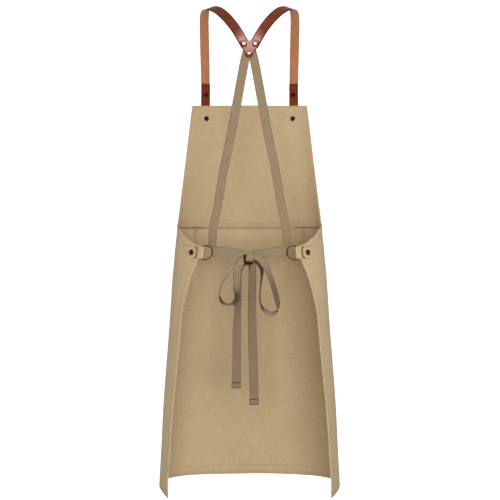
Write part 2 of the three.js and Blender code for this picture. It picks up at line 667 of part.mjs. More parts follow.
// Cutter for webbing that ends behind the bow of the ring: what lies within the bow's opening
function bowOpening() {
  const [across, high] = [RING_REACH - RING_CORNER, RING_HALF_HEIGHT];
  const opening = new THREE.CylinderGeometry(1, 1, HOLE_LENGTH, BOW_SIDES).rotateX(Math.PI / 2);
  opening.scale(across, high, 1).translate(RING_CORNER, 0, 0);
  return opening.applyMatrix4(ringTurn).translate(ringOrigin.x, ringOrigin.y, ringOrigin.z);
}

// The waist tie: from behind the bow of the ring along the back to the knot
function tieGeometry() {
  const behind = RING_WIRE + GAP + WEB / 2;
  const ringOff = (reach) => {
    const at = RING_BAR_AT + reach;
    const point = ringOrigin.clone().addScaledVector(ringReachWay, reach);
    return point.sub(clothPoint(-at, TAB_HEIGHT)).dot(clothFrame(-at, TAB_HEIGHT).out);
  };
  const bow = [RING_REACH - 8, RING_REACH - 4, RING_REACH, RING_REACH + 4];
  const bowEnd = RING_BAR_AT + bow.at(-1);
  const runs = [12, 22, 32, 42, 52].map((run) => bowEnd + run);
  const knotAt = sectionLine(KNOT.z).along.at(-1) - KNOT.halfWidth - GAP;
  const midHeight = (at) => lerp(TAB_HEIGHT, KNOT.z, smoothstep(at, bowEnd, knotAt + 40));
  const path = [
    ...bow.map((reach) => ({ at: RING_BAR_AT + reach, off: ringOff(reach) - behind })),
    ...[...runs, knotAt].map((at) => ({ at, off: TIE_OUTSIDE })),
  ];
  return cut(bodyBand(path, midHeight, WEB_WIDTH, WEB), [knotGeometry(GAP), bowOpening()]);
}

// The knot: one turn of webbing round the crossing of the ties
function knotGeometry(grow = 0) {
  const turn = new THREE.CylinderGeometry(1, 1, 2 * (KNOT.halfWidth + grow), 16).rotateZ(Math.PI / 2);
  turn.scale(1, KNOT.halfDepth + grow, KNOT.halfHeight + grow);
  return turn.translate(0, KNOT.y, KNOT.z);
}

// A band of the bow, gathered where it goes into the knot
function bowBand(rows, steps) {
  return cut(bandThrough(turningStations(rows, steps), WEB), [knotGeometry(GAP)]);
}

// Colours and finishes
const CANVAS = { color: 0xb59d78, roughness: 0.9, metalness: 0 };
const WEBBING = { color: 0x958268, roughness: 0.85, metalness: 0 };
const HIDE = { color: 0x7c3c22, roughness: 0.45, metalness: 0 };
const BRONZE = { color: 0x4a3a2c, roughness: 0.35, metalness: 1 };
const COPPER = { color: 0x7a4a36, roughness: 0.25, metalness: 1 };
const BRASS = { color: 0x6a5a38, roughness: 0.4, metalness: 1 };

const apron = new THREE.Group();
const leftHalf = new THREE.Group();
const rightHalf = new THREE.Group();
rightHalf.scale.x = -1;
apron.add(leftHalf, rightHalf);

function add(name, geometry, look, parent = apron) {
  const mesh = new THREE.Mesh(geometry, new THREE.MeshStandardMaterial(look));
  mesh.name = name;
  parent.add(mesh);
  return mesh;
}

// A pair of pieces, modelled on the left and mirrored to the right
function addPair(name, geometry, look) {
  return [add(`${name}_left`, geometry, look, leftHalf), add(`${name}_right`, geometry, look, rightHalf)];
}

// Cloth
const bibHoles = pairOfHoles(STUD, bibStudPlace);
const tabHoles = pairOfHoles(TAB_STUD, tabStudPlace);
add("apron_panel", cut(panelGeometry(), [...bibHoles, ...tabHoles]), CANVAS);
add("bib_facing", cut(facingGeometry(), bibHoles), CANVAS);
addPair("tab", tabGeometry(), CANVAS);

// Leather
addPair("strap", strapGeometry(), HIDE);
const patch = add("cross_patch", patchGeometry(), HIDE);
patch.position.copy(crossPlace(0, 0, PATCH_INNER).point);
patch.rotation.x = CROSS_LEAN;

// Webbing
add("web_left", webGeometry(UPPER_WEB, bottomRivetPlace), WEBBING, leftHalf);
add("web_right", webGeometry(LOWER_WEB, mirrored(bottomRivetPlace)), WEBBING, rightHalf);
addPair("tie", tieGeometry(), WEBBING);
add("bow_knot", knotGeometry(), WEBBING);
add("bow_loop_left", bowBand(LOOP_LEFT, 42), WEBBING);
add("bow_loop_right", bowBand(LOOP_RIGHT, 45), WEBBING);
add("bow_tail_left", bowBand(TAIL_LEFT, 15), WEBBING);
add("bow_tail_right", bowBand(TAIL_RIGHT, 15), WEBBING);

// Metal
const strapStack = STRAP_OUTER - STRAP_INNER + LEATHER + 2 * SEAT;
const bibStack = strapFace + 2 * CLOTH + HEM_FOLD + FACING_GAP + CLOTH_SEAT;
const tabStack = tabFace - TAB_INSIDE + CLOTH / 2 + CLOTH_SEAT;
const sideRivetStack = patchFace + LEATHER / 2 + SEAT;
const bottomRivetStack = patchFace - LOWER_WEB + WEB / 2 + SEAT;
addPair("strap_stud", fastener(STUD, strapStack, strapStudPlace), BRONZE);
addPair("bib_stud", fastener(STUD, bibStack, bibStudPlace), BRONZE);
addPair("tab_stud", fastener(TAB_STUD, tabStack, tabStudPlace), BRONZE);
addPair("cross_rivet", fastener(RIVET, sideRivetStack, sideRivetPlace), COPPER);
add("cross_rivet_bottom", fastener(RIVET, bottomRivetStack, bottomRivetPlace), COPPER);
for (const ring of addPair("d_ring", ringGeometry(), BRASS)) {
  ring.position.copy(ringOrigin);
  ring.quaternion.setFromRotationMatrix(ringTurn);
}

export default apron;
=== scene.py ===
"""Bib apron with crossed back straps: cloth, leather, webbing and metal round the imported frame.

The tables are in millimetres and every mesh is made in metres. The frame is the model's own: +Z up,
+Y the way the wearer faces, and the origin between the shoulders.
"""

import bpy
import numpy as np
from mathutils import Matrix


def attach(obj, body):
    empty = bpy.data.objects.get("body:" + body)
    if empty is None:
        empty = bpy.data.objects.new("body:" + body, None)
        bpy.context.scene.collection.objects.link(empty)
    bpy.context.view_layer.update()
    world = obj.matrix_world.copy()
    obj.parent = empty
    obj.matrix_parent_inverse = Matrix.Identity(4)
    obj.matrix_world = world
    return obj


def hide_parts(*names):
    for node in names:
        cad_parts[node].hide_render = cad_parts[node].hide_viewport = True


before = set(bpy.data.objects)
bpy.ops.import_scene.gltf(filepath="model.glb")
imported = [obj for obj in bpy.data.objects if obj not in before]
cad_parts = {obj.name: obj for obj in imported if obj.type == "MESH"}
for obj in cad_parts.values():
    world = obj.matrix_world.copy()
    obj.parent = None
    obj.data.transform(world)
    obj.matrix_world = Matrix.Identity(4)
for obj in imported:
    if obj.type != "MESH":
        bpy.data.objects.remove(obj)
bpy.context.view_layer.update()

MM = 0.001
SIDES = ("left", "right")

# Thicknesses and widths of the materials
CLOTH = 1.2
LEATHER = 2.0
WEB = 1.4
STRAP_WIDTH = 21.0
WEB_WIDTH = 19.0
TAB_WIDTH = 25.0
GAP = 0.3
SEAT = 0.1
CLOTH_SEAT = 0.5

# Heights of the cut cloth, the droop of the bib's top corners and of the wings' lower corners, and the
# folded hem round the edge
BIB_TOP = -191.0
BIB_DROOP = 4.8
BIB_DROOP_FOOT = -300.0
HEM_FOOT = -1042.0
HEM_DROOP = 5.0
HEM_DROOP_TOP = -900.0
HEM = 12.0
FOOT_HEM = 20.0
# Height of the painted shade that darkens the canvas along the apron's foot
HEM_SHADE_HEIGHT = 14.0
HEM_FOLD = 1.2
HEM_STEP = 1.5
HEM_RUN_MOST = 40.0
HEM_PUFF = 0.12
STITCH_INSET = 2.0
RIM_ROUND = 0.3

# Facing of the bib
FACING_FOOT = -473.6
FACING_INSET = 2.0
FACING_GAP = 0.8
FACING_HALF = 212.0
FACING_DROOP = 1.2
FACING_LIFT = 1.8
FACING_LIFT_HEIGHT = 40.0
# Height of the strip of painted shadow along the facing's foot
FACING_EDGE = 1.1
FACING_STITCHES = (5.0, 10.5)

# Wave of the facing's foot off the bib, at shares of its half width
WAVE_RISES = (0.42, 0.58)
WAVE_EASES = (0.62, 0.8)
WAVE_FALLS = (0.8, 0.98)
WAVE_EASED = 0.6
# Share of the wave above which the painted shadow along the facing's foot is darker
WAVE_SHADED = 0.75

# Upright folds below the facing, with heights below the shoulders
FOLD_AT = 124.5
FOLD_WIDTH = 5.0
FOLD_DEPTH = 7.5
FOLD_TOP = 474.0
FOLD_FOOT = 535.0
FOLD_FADE = (10.0, 30.0)

# Ripples of the skirt: heights below the shoulders where they grow, and where they fade round the body
RIPPLE_GROWS = (560, 1000)
RIPPLE_FADES = (190, 260)
RIPPLE_SLOW = 1.3
RIPPLE_QUICK = 0.8

# Side fastening, at distances round the body from the middle of the front
TAB_HEIGHT = -530.5
WING_END = 336.0
TAB_INNER_END = 305.0
TAB_TIP = 302.0
TAB_STUD_AT = 316.0
TAB_RETURN = 332.0
TAB_TIP_LIFT = 2.0
TAB_CURL_AT = TAB_STUD_AT + 7
TAB_OUTSIDE = 0.9
TAB_INSIDE = -4.1
RING_BAR_AT = 342.0
RING_DEPTH = -1.2
RING_WIRE = 1.5
RING_HALF_HEIGHT = 15.0
RING_REACH = 23.4
RING_SQUARENESS = 2.5
RING_CORNER = 3.0

# Shoulder straps where they lie on the bib
STRAP_X = 101.0
STRAP_FOLD = -236.0
STRAP_END = -142.5
STRAP_STRAIGHT_TOP = -161.0
STRAP_LIFT_OFF = -150.0
BIB_STUD_HEIGHT = -223.0
STRAP_STUD_HEIGHT = -168.0
STRAP_INNER = GAP + LEATHER / 2
STRAP_OUTER = STRAP_INNER + LEATHER + GAP

# Cross of the straps
CROSS_CENTRE = np.array([0.0, -108.5, -105.0])
CROSS_LEAN = np.radians(73.0)
CROSS_RIVET = (11.8, 8.8)
BOTTOM_RIVET = (-1.0, -13.8)
PATCH_GAP = 0.5
PATCH_INNER = LEATHER / 2 + PATCH_GAP
UPPER_WEB = PATCH_INNER - PATCH_GAP - WEB / 2
LOWER_WEB = UPPER_WEB - WEB - GAP
STRAP_CROSS = [(-17.1, 25), (-12.6, 16), (-7.8, 6.5)]
WEB_CROSS = [(-4, -1.5), (-6.7, -13), (-9.2, -23)]

# Outline of the patch, from its top: control point, end and steps of each curve. Then the rings that
# shrink it to its middle: share of the outline, and height
PATCH_TOP = (0, 18)
PATCH_MIDDLE = np.array([0.0, 1.0])
PATCH_OUTLINE = (
    ((-6, 20.5), (-16, 18), 10),
    ((-21.5, 17), (-20, 13), 8),
    ((-17.6, 6), (-15.2, -1), 8),
    ((-12.5, -7), (-8.6, -14.2), 8),
    ((-8.4, -21.6), (-1, -21.6), 10),
    ((6.4, -21.6), (6.6, -14.2), 10),
    ((11.5, -7), (15.2, -1), 8),
    ((17.6, 6), (20, 13), 8),
    ((21.5, 17), (16, 18), 8),
    ((6, 20.5), PATCH_TOP, 10),
)
PATCH_RINGS = np.array([
    (0.02, 2.25), (0.3, 2.22), (0.55, 2.15), (0.78, 2.05), (0.92, 1.95), (0.975, 1.7), (1.0, 1.0),
    (0.985, 0.25), (0.9, 0.02), (0.5, 0.0), (0.02, 0.0),
])

# Studs and rivets: radius and rise of the cap, radius of the post, radius and depth of the washer
STUD = (5.5, 2.0, 1.6, 5.6, 1.2)
TAB_STUD = (6.6, 2.2, 1.6, 5.0, 1.2)
RIVET = (6.2, 2.4, 1.6, 5.0, 1.2)
RIVET_FLAT = 0.2
STRAP_FACE = STRAP_OUTER + LEATHER / 2 + SEAT
PATCH_FACE = PATCH_INNER + LEATHER + SEAT
TAB_FACE = TAB_OUTSIDE + CLOTH + GAP + CLOTH / 2 + SEAT

# Back webbing and waist ties where they meet the ring, and the knot of the bow
WEB_AT = 357.5
WEB_DEPTH = -4.6
WEB_FOOT = -524.0
WEB_TRIM_TOP = 45.0
WEB_STITCHES = (13.0, 17.5, 22.0)
TIE_OUTSIDE = 0.9
TIE_RISE = 2.6
TIE_WIDTH = 20.8
TIE_UNDER_RING = 8.0
TIE_PAST_RING = 4.0
TIE_END_ROWS = 13
KNOT_Z = -541.0
KNOT_HALF_WIDTH = 9.5
CROSSING_CENTRE = np.array([-3.0, -120.0, -545.0])
CROSSING_HALF = (KNOT_HALF_WIDTH, 3.15, 10.625)
CROSSING_POWER = 0.8
BOW_PLEAT = 1.6

# Level sections of the cloth: z, half width, front y, y of the widest place, back depth, squareness of
# the front and of the back
SECTIONS = np.array([
    (-191, 163, 112, 5, 104, 2.5, 2),
    (-330, 162, 115, 5, 102, 2.5, 2),
    (-476, 160, 113, 5, 100, 2.4, 2),
    (-515, 163.5, 112.7, 6, 111.4, 2.47, 2),
    (-550, 166.7, 112.4, 6.9, 121.7, 2.53, 2),
    (-592, 170.5, 112, 8, 134, 2.6, 2),
    (-680, 176, 112, 8, 168, 2.75, 2),
    (-856, 189, 112, 8, 200, 2.9, 2),
    (-968, 195, 112.5, 9, 277, 2.95, 1.68),
    (-1042, 199.5, 113, 10, 380, 3, 1.35),
])

# Half width of the flat cut: z, half
CUT = np.array([
    (-191, 137.5), (-323, 159), (-414, 181.5), (-448, 196), (-465, 209), (-478, 249), (-489, 267),
    (-503.5, 296), (-512.5, 317), (-517.5, WING_END), (-546, WING_END), (-585, 330), (-640, 330.5),
    (-700, 339.5), (-770, 347.5), (-841, 354), (-905, 362), (-968, 366.5),
    (-1042, 364.5),
])

# Heights of the grids' rows, closer together where the cloth is bent or folded
PANEL_ROWS = np.concatenate([
    [-1042, -1041, -1036, -1030, -1023.5, -1022, -1021.2, -1020.5],
    np.linspace(-1014, -560, 71),
    np.linspace(-554, -522, 12),
    np.linspace(-519, -440, 44),
    np.linspace(-434, -212, 38),
    [-204.5, -203.8, -203, -202, -197, -192, -191],
])
FACING_ROWS = np.concatenate([
    [FACING_FOOT],
    np.linspace(FACING_FOOT + FACING_EDGE, -430, 24),
    np.linspace(-424, BIB_TOP - FACING_INSET, 40),
])

# Table that the cloth's shape is read from: lowest height, step and number of heights
TABLE_FOOT = -1060.0
TABLE_STEP = 2.0
TABLE_ROWS = 460

# Left shoulder strap above the bib, and left back webbing below the cross: x, y, z, nx, ny, nz
SHOULDER = np.array([
    (-102, 86, -95, -0.22, 0.9, 0.36),
    (-102, 58, -44, -0.25, 0.7, 0.67),
    (-101, 29, -10, -0.3, 0.35, 0.9),
    (-97, 4, 3, -0.34, 0.05, 0.94),
    (-87, -15, 3.4, -0.36, -0.3, 0.88),
    (-72, -31, -3.4, -0.4, -0.52, 0.75),
    (-50.8, -60, -26, -0.4, -0.74, 0.54),
    (-29.5, -88, -58, -0.14, -0.92, 0.37),
])
BACK_WEB = np.array([
    (-17.7, -119, -172, -0.05, -0.99, 0.05),
    (-25.2, -120, -214, -0.08, -0.99, 0),
    (-41, -115, -297, -0.14, -0.98, -0.06),
    (-54.2, -108, -359, -0.2, -0.97, -0.1),
    (-66.8, -99.5, -431.6, -0.26, -0.95, -0.12),
    (-76.6, -92, -479.7, -0.32, -0.94, -0.1),
])

# Turn of the knot, down across its front: x, y, z, nx, ny, nz
KNOT_TURN = np.array([
    (3.0, -114.5, -529.5, 0.05, -0.2, 0.97),
    (2.3, -119.5, -530.5, 0.1, -0.65, 0.75),
    (1.2, -123.4, -534.5, 0.05, -0.95, 0.3),
    (0.0, -124.9, -540.0, 0.0, -1.0, 0.0),
    (-1.2, -124.2, -545.4, -0.05, -0.9, -0.4),
    (-1.8, -121.0, -549.0, -0.1, -0.5, -0.85),
    (-2.2, -115.5, -549.8, -0.05, 0.0, -1.0),
])
KNOT_TURN_WIDTH = 14.0

# Loops and free ends of the bow, and a thin strip of painted shadow below its knot: x, y, z, turn of the
# band out of the plane facing back, width
LOOP_LEFT = np.array([
    (-9, -120.5, -542, 0, 10),
    (-16, -122.5, -549, -10, 14),
    (-25, -125, -564, -28, 18),
    (-25.9, -127, -584, -36, 19),
    (-25.6, -127.5, -606, -62, 19),
    (-25, -127, -621, -118, 19),
    (-30.5, -126.5, -633, -120, 19),
    (-42.9, -125, -638.2, -98, 19),
    (-54.4, -124, -635, -105, 19),
    (-61.5, -123, -625, -100, 19),
    (-62, -122, -610.4, -80, 19),
    (-56.5, -121, -591.7, -78, 19),
    (-47.1, -120, -575, -75, 18),
    (-34.6, -119, -558.3, -66, 16),
    (-22, -117.5, -547.4, -36, 13),
    (-9, -116.5, -541, 0, 12),
])
LOOP_RIGHT = np.array([
    (9, -122, -538.5, 0, 11),
    (22, -124.5, -543, -15, 15),
    (33.5, -126, -557.3, -38, 19),
    (42.5, -126.5, -579, -54, 19),
    (49, -127, -599, -55, 19),
    (55, -127, -620, -55, 19),
    (59, -127, -639.6, -63, 19),
    (57, -126.5, -651.5, -96, 19),
    (46.7, -126, -657.5, -120, 19),
    (33.1, -125, -652.6, -118, 19),
    (24, -124, -639.6, -98, 19),
    (21.2, -123.5, -621.9, -95, 19),
    (23.1, -123, -599, -97, 19),
    (25, -121.5, -580.2, -104, 18),
    (25, -119.5, -566, -120, 16),
    (19.5, -117.5, -553, -150, 13),
    (9, -117, -545, -180, 10),
])
TAIL_LEFT = np.array([
    (-8, -116, -553, 0, 9),
    (-18, -115.5, -560, 0, 12),
    (-24, -113, -576, 8, 16),
    (-24.3, -110.5, -630, 40, 19),
    (-25, -111.5, -655, 42, 19),
    (-26.3, -114.5, -690, 22, 19),
    (-27, -116.5, -750, 20, 19),
    (-27.4, -117, -812, 0, 19),
])
TAIL_RIGHT = np.array([
    (7, -115, -551, 0, 11),
    (6, -115, -582, 20, 17),
    (4.8, -115, -630, 27, 19),
    (5.9, -115.5, -700, 19, 19),
    (8.3, -116, -780, 10, 19),
    (9.2, -116.5, -847, 0, 19),
])
# Strip of painted shadow below the knot
KNOT_SHADOW_STRIP = np.array([
    (-0.2, -118.5, -550, 0, 3.0),
    (-0.6, -119.3, -557, 0, 2.2),
    (-1.0, -119.6, -565, 0, 1.2),
    (-1.6, -119.8, -575, 0, 0.5),
])
KNOT_SHADOW_THICKNESS = 0.8
TAIL_HEM = 12.0
TAIL_HEM_LIFT = WEB + 0.1
TAIL_HEM_WIDER = 0.8
TAIL_STITCH_INSET = 0.6

# Stitches: radii, pitch, length, places along one as shares of half its length, and sides round it
STITCH_RADIUS = 0.45
TAIL_STITCH_RADIUS = 0.75
TACK_RADIUS = 1.15
STITCH_PITCH = 3.6
STITCH_LENGTH = 2.7
STITCH_PLACES = np.array([-1.0, -0.8, 0.0, 0.8, 1.0])
STITCH_SIDES = 6

# Outline of a band's cross-section: share of its width, share of its thickness
ACROSS_TOP = np.array([0.487, 0.46, 0.3, 0.15, 0.0, -0.15, -0.3, -0.46, -0.487])
RISE_TOP = np.array([0.36, 0.5, 0.5, 0.5, 0.5, 0.5, 0.5, 0.5, 0.36])
BAND_ACROSS = np.concatenate([ACROSS_TOP, [-0.5], ACROSS_TOP[::-1], [0.5]])
BAND_RISE = np.concatenate([RISE_TOP, [0.0], -RISE_TOP, [0.0]])
BAND_COUNT = len(BAND_ACROSS)

# Angle from which an edge is shaded as sharp
SHARP = np.radians(55)

# Camera at the photograph's viewing angle, floor and surroundings, in metres
CAMERA_PLACE = (0.0009, -2.130, -0.5249)
CAMERA_LENS = 69.7
CAMERA_SENSOR = 36.0
FLOOR_HEIGHT = -1.075
FLOOR_HALF = 9.0
WALL_BEND = 3.0
WALL_AT = 8.0
FLOOR_GLOW = 0.75
SURROUNDINGS = 0.52

# Soft boxes: name, place, aim, width and height, watts, whether they light and whether they reflect
LIGHTS = (
    ("front_light", (0.3, -3.2, -0.55), (0, 0, -0.65), (2.0, 0.95), 80, True, False),
    ("key_light", (1.3, -1.2, 1.2), (0, -0.1, -0.15), (0.3, 0.3), 9, True, False),
    ("left_light", (-1.5, -0.55, -1.02), (-0.15, -0.05, -0.85), (0.5, 0.4), 4.4, True, False),
    ("strip_light", (0.0, -1.75, 1.95), (0, -0.1, -0.1), (0.9, 0.8), 106, False, True),
)


def place_camera():
    """A level camera behind the wearer, looking along +Y."""
    data = bpy.data.cameras.new("camera")
    data.lens = CAMERA_LENS
    data.sensor_width = CAMERA_SENSOR
    camera = bpy.data.objects.new("camera", data)
    camera.location = CAMERA_PLACE
    camera.rotation_euler = (np.pi / 2, 0, 0)
    bpy.context.scene.collection.objects.link(camera)
    bpy.context.scene.camera = camera


def soft_box(name, place, aim, size, power, lights, reflects):
    """An area light of a width and height at a place, turned so that it looks at the aim. It can be
    kept to the matt light of surfaces or to their reflections."""
    data = bpy.data.lights.new(name, "AREA")
    data.shape = "RECTANGLE"
    data.size, data.size_y = size
    data.energy = power
    light = bpy.data.objects.new(name, data)
    light.location = place
    way = np.array(aim) - np.array(place)
    tilt = np.arctan2(np.hypot(way[0], way[1]), -way[2])
    light.rotation_euler = (tilt, 0, np.arctan2(way[0], -way[1]) + np.pi)
    light.visible_diffuse = lights
    light.visible_glossy = reflects
    bpy.context.scene.collection.objects.link(light)


def light_studio():
    """White surroundings, a broad soft box behind the camera, small ones high on the right and low on the
    left, and a strip that only shows as a reflection in the leather and metal."""
    world = bpy.data.worlds.new("studio")
    bpy.context.scene.world = world
    world.use_nodes = True
    background = world.node_tree.nodes["Background"]
    background.inputs["Color"].default_value = (1, 1, 1, 1)
    background.inputs["Strength"].default_value = SURROUNDINGS
    for light in LIGHTS:
        soft_box(*light)
    bpy.context.scene.view_settings.view_transform = "Standard"


# Materials


def tint(red, green, blue):
    """Linear colour of an sRGB colour given from 0 to 255."""
    c = np.array([red, green, blue]) / 255.0
    linear = np.where(c <= 0.04045, c / 12.92, ((c + 0.055) / 1.055) ** 2.4)
    return (*(float(x) for x in linear), 1.0)


class Finish:
    """Builder of one procedural material: nodes are added by kind, with sockets linked or set."""

    def __init__(self, name, **constants):
        self.material = bpy.data.materials.new(name)
        self.material.use_nodes = True
        self.tree = self.material.node_tree
        self.shader = self.tree.nodes["Principled BSDF"]
        for socket, value in constants.items():
            self.shader.inputs[socket.replace("_", " ").title().replace("Ior", "IOR")].default_value = value

    def fill(self, socket, value):
        if isinstance(value, bpy.types.NodeSocket):
            self.tree.links.new(value, socket)
        else:
            socket.default_value = value

    def add(self, kind, inputs, output=0, **settings):
        node = self.tree.nodes.new("ShaderNode" + kind)
        for name, value in settings.items():
            setattr(node, name, value)
        for key, value in inputs.items():
            self.fill(node.inputs[key], value)
        return node.outputs[output]

    def math(self, operation, first, second=0.0):
        return self.add("Math", {0: first, 1: second}, operation=operation)

    def uv(self):
        return self.add("TexCoord", {}, output="UV")

    def solid(self):
        return self.add("TexCoord", {}, output="Object")

    def parts(self, vector):
        node = self.tree.nodes.new("ShaderNodeSeparateXYZ")
        self.tree.links.new(vector, node.inputs[0])
        return node.outputs[0], node.outputs[1]

    def stretched(self, vector, scale):
        return self.add("Mapping", {"Vector": vector, "Scale": scale})

    def noise(self, vector, scale, detail):
        inputs = {"Vector": vector, "Scale": scale, "Detail": detail, "Roughness": 0.55}
        return self.add("TexNoise", inputs)

    def span(self, value, low, high, to_low=0.0, to_high=1.0):
        inputs = {0: value, 1: low, 2: high, 3: to_low, 4: to_high}
        return self.add("MapRange", inputs)

    def wave(self, value, pitch):
        """Sine of a length in metres that repeats at a pitch in millimetres."""
        return self.math("SINE", self.math("MULTIPLY", value, 2 * np.pi / (pitch * MM)))

    def mix(self, factor, first, second):
        inputs = {0: factor, 6: first, 7: second}
        return self.add("Mix", inputs, output=2, data_type="RGBA")

    def finish(self, colour, rough=None, height=None, depth=0.0, strength=1.0):
        self.fill(self.shader.inputs["Base Color"], colour)
        if rough is not None:
            self.fill(self.shader.inputs["Roughness"], rough)
        if height is not None:
            inputs = {"Height": height, "Distance": depth, "Strength": strength}
            self.fill(self.shader.inputs["Normal"], self.add("Bump", inputs))
        return self.material


def canvas_finish():
    """Plain-woven cotton: crossing yarns at a fixed pitch, uneven slubs along both, soft cloudiness, and
    painted shade that darkens the lowest stretch of the hem at the apron's foot."""
    f = Finish("canvas", sheen_weight=0.04, sheen_roughness=0.6, specular_ior_level=0.1)
    uv = f.uv()
    u, v = f.parts(uv)
    weave = f.math("MULTIPLY", f.wave(u, 1.1), f.wave(v, 1.1))
    warp = f.noise(f.stretched(uv, (1300, 45, 1)), 1.0, 2.0)
    weft = f.noise(f.stretched(uv, (45, 1300, 1)), 1.0, 2.0)
    slub = f.math("ADD", warp, weft)
    cloud = f.noise(uv, 14.0, 4.0)
    base = f.mix(f.span(cloud, 0.3, 0.7), tint(185, 163, 128), tint(192, 171, 135))
    yarn = f.mix(f.span(slub, 0.75, 1.25), tint(172, 149, 113), base)
    woven = f.mix(f.span(weave, -1, 1, 0.0, 0.16), yarn, tint(150, 125, 92))
    # Painted shade: the canvas darkens towards the apron's foot over the lowest stretch of the hem
    painted_hem_shade = f.span(v, (HEM_FOOT + HEM_SHADE_HEIGHT) * MM, HEM_FOOT * MM, 0.0, 0.38)
    colour = f.mix(painted_hem_shade, woven, tint(140, 116, 84))
    height = f.math("ADD", f.math("MULTIPLY", weave, 0.5), slub)
    rough = f.span(slub, 0.6, 1.4, 0.95, 0.82)
    return f.finish(colour, rough, height, 0.00025, 0.5)


def webbing_finish(name, pale, deep, painted_span=None, gap=tint(88, 73, 55)):
    """Cotton webbing: ribs along its length, picks across it, paler worn spots, and the gap colour between
    its threads and at its selvedges. Its optional span of painted light and shade holds four places along
    it and a colour, paler for painted light and darker for painted shade, which it takes on from the first
    place to the second, and loses from the third to the fourth."""
    f = Finish(name, sheen_weight=0.04, sheen_roughness=0.6, specular_ior_level=0.1)
    uv = f.uv()
    u, v = f.parts(uv)
    rib = f.wave(u, 1.55)
    pick = f.wave(v, 1.2)
    crossed = f.math("MULTIPLY", f.math("MULTIPLY", rib, pick), 0.5)
    weave = f.math("ADD", f.math("MULTIPLY", rib, 0.7), crossed)
    fibre = f.noise(f.stretched(uv, (900, 60, 1)), 1.0, 3.0)
    cloud = f.noise(uv, 40.0, 3.0)
    worn = f.mix(f.span(cloud, 0.3, 0.7, 0.0, 0.6), pale, deep)
    fuzz = f.mix(f.span(fibre, 0.35, 0.65, 0.7, 0.0), worn, deep)
    woven = f.mix(f.span(weave, 1.0, -1.0, 0.0, 0.45), fuzz, gap)
    selvedge = f.span(f.math("ABSOLUTE", u), 0.0074, 0.0094, 0.0, 0.34)
    colour = f.mix(selvedge, woven, gap)
    # Painted light and shade: a colour laid over part of the band's length
    if painted_span:
        start, full, last, stop, painted_colour = painted_span
        share = f.math("SUBTRACT", f.span(v, start, full), f.span(v, last, stop))
        colour = f.mix(share, colour, painted_colour)
    return f.finish(colour, f.span(fibre, 0.3, 0.7, 0.95, 0.8), weave, 0.0003, 0.6)


def smooth_leather_finish():
    """Waxed grain side: cellular grain, mottled red-brown dye, darker burnished edges."""
    f = Finish("smooth_leather", specular_ior_level=0.25)
    f.shader.inputs["Specular Tint"].default_value = (1.0, 0.74, 0.67, 1)
    uv = f.uv()
    u, _ = f.parts(uv)
    grain = f.add("TexVoronoi", {"Vector": uv, "Scale": 900.0}, output="Distance")
    mottle = f.noise(uv, 60.0, 5.0)
    streak = f.noise(f.stretched(uv, (260, 30, 1)), 1.0, 3.0)
    base = f.mix(f.span(mottle, 0.3, 0.7), tint(90, 31, 4), tint(132, 53, 9))
    dyed = f.mix(f.span(streak, 0.35, 0.7, 0.0, 0.5), base, tint(80, 28, 7))
    edge = f.span(f.math("ABSOLUTE", u), 0.0070, 0.0093, 0.0, 0.9)
    colour = f.mix(edge, dyed, tint(46, 19, 10))
    rough = f.span(mottle, 0.25, 0.75, 0.3, 0.4)
    return f.finish(colour, rough, f.math("ADD", grain, f.math("MULTIPLY", mottle, 0.6)), 0.00012, 0.35)


def flesh_leather_finish():
    """Flesh side: pale nap of short fibres, lengthwise streaks, and darker dye at the edges."""
    f = Finish("flesh_leather", sheen_weight=0.3, sheen_roughness=0.5, specular_ior_level=0.1)
    uv = f.uv()
    u, _ = f.parts(uv)
    nap = f.noise(uv, 700.0, 4.0)
    streak = f.noise(f.stretched(uv, (120, 40, 1)), 1.0, 4.0)
    base = f.mix(f.span(streak, 0.3, 0.7), tint(161, 105, 73), tint(174, 120, 85))
    napped = f.mix(f.span(nap, 0.3, 0.7, 0.0, 0.45), base, tint(134, 86, 58))
    edge = f.span(f.math("ABSOLUTE", u), 0.0092, 0.0106, 0.0, 0.6)
    colour = f.mix(edge, napped, tint(110, 58, 34))
    return f.finish(colour, f.span(nap, 0.3, 0.7, 0.98, 0.85), nap, 0.0003, 0.5)


def metal_finish(name, bright, dark, rough_low, rough_high, lacquer=0.0):
    """Plated metal with a cloudy patina and rubbed highlights, under a clear lacquer or bare."""
    f = Finish(name, metallic=1.0, coat_weight=lacquer, coat_roughness=0.08)
    at = f.solid()
    cloud = f.noise(at, 260.0, 4.0)
    speck = f.noise(at, 1600.0, 2.0)
    colour = f.mix(f.span(cloud, 0.35, 0.65), dark, bright)
    rough = f.span(cloud, 0.3, 0.7, rough_high, rough_low)
    return f.finish(colour, rough, speck, 0.00005, 0.25)


def thread_finish(name, pale, deep):
    """Sewing thread: two plies twisted round each other along its length."""
    f = Finish(name, specular_ior_level=0.0)
    u, v = f.parts(f.uv())
    ply = f.math("SINE", f.math("MULTIPLY", f.math("ADD", u, v), 7000.0))
    colour = f.mix(f.span(ply, -1, 1), deep, pale)
    return f.finish(colour, f.span(ply, -1, 1, 0.9, 0.75), ply, 0.0001, 0.6)


# Meshes


def unit(vectors):
    """Vectors scaled to length one."""
    return vectors / np.linalg.norm(vectors, axis=-1, keepdims=True)


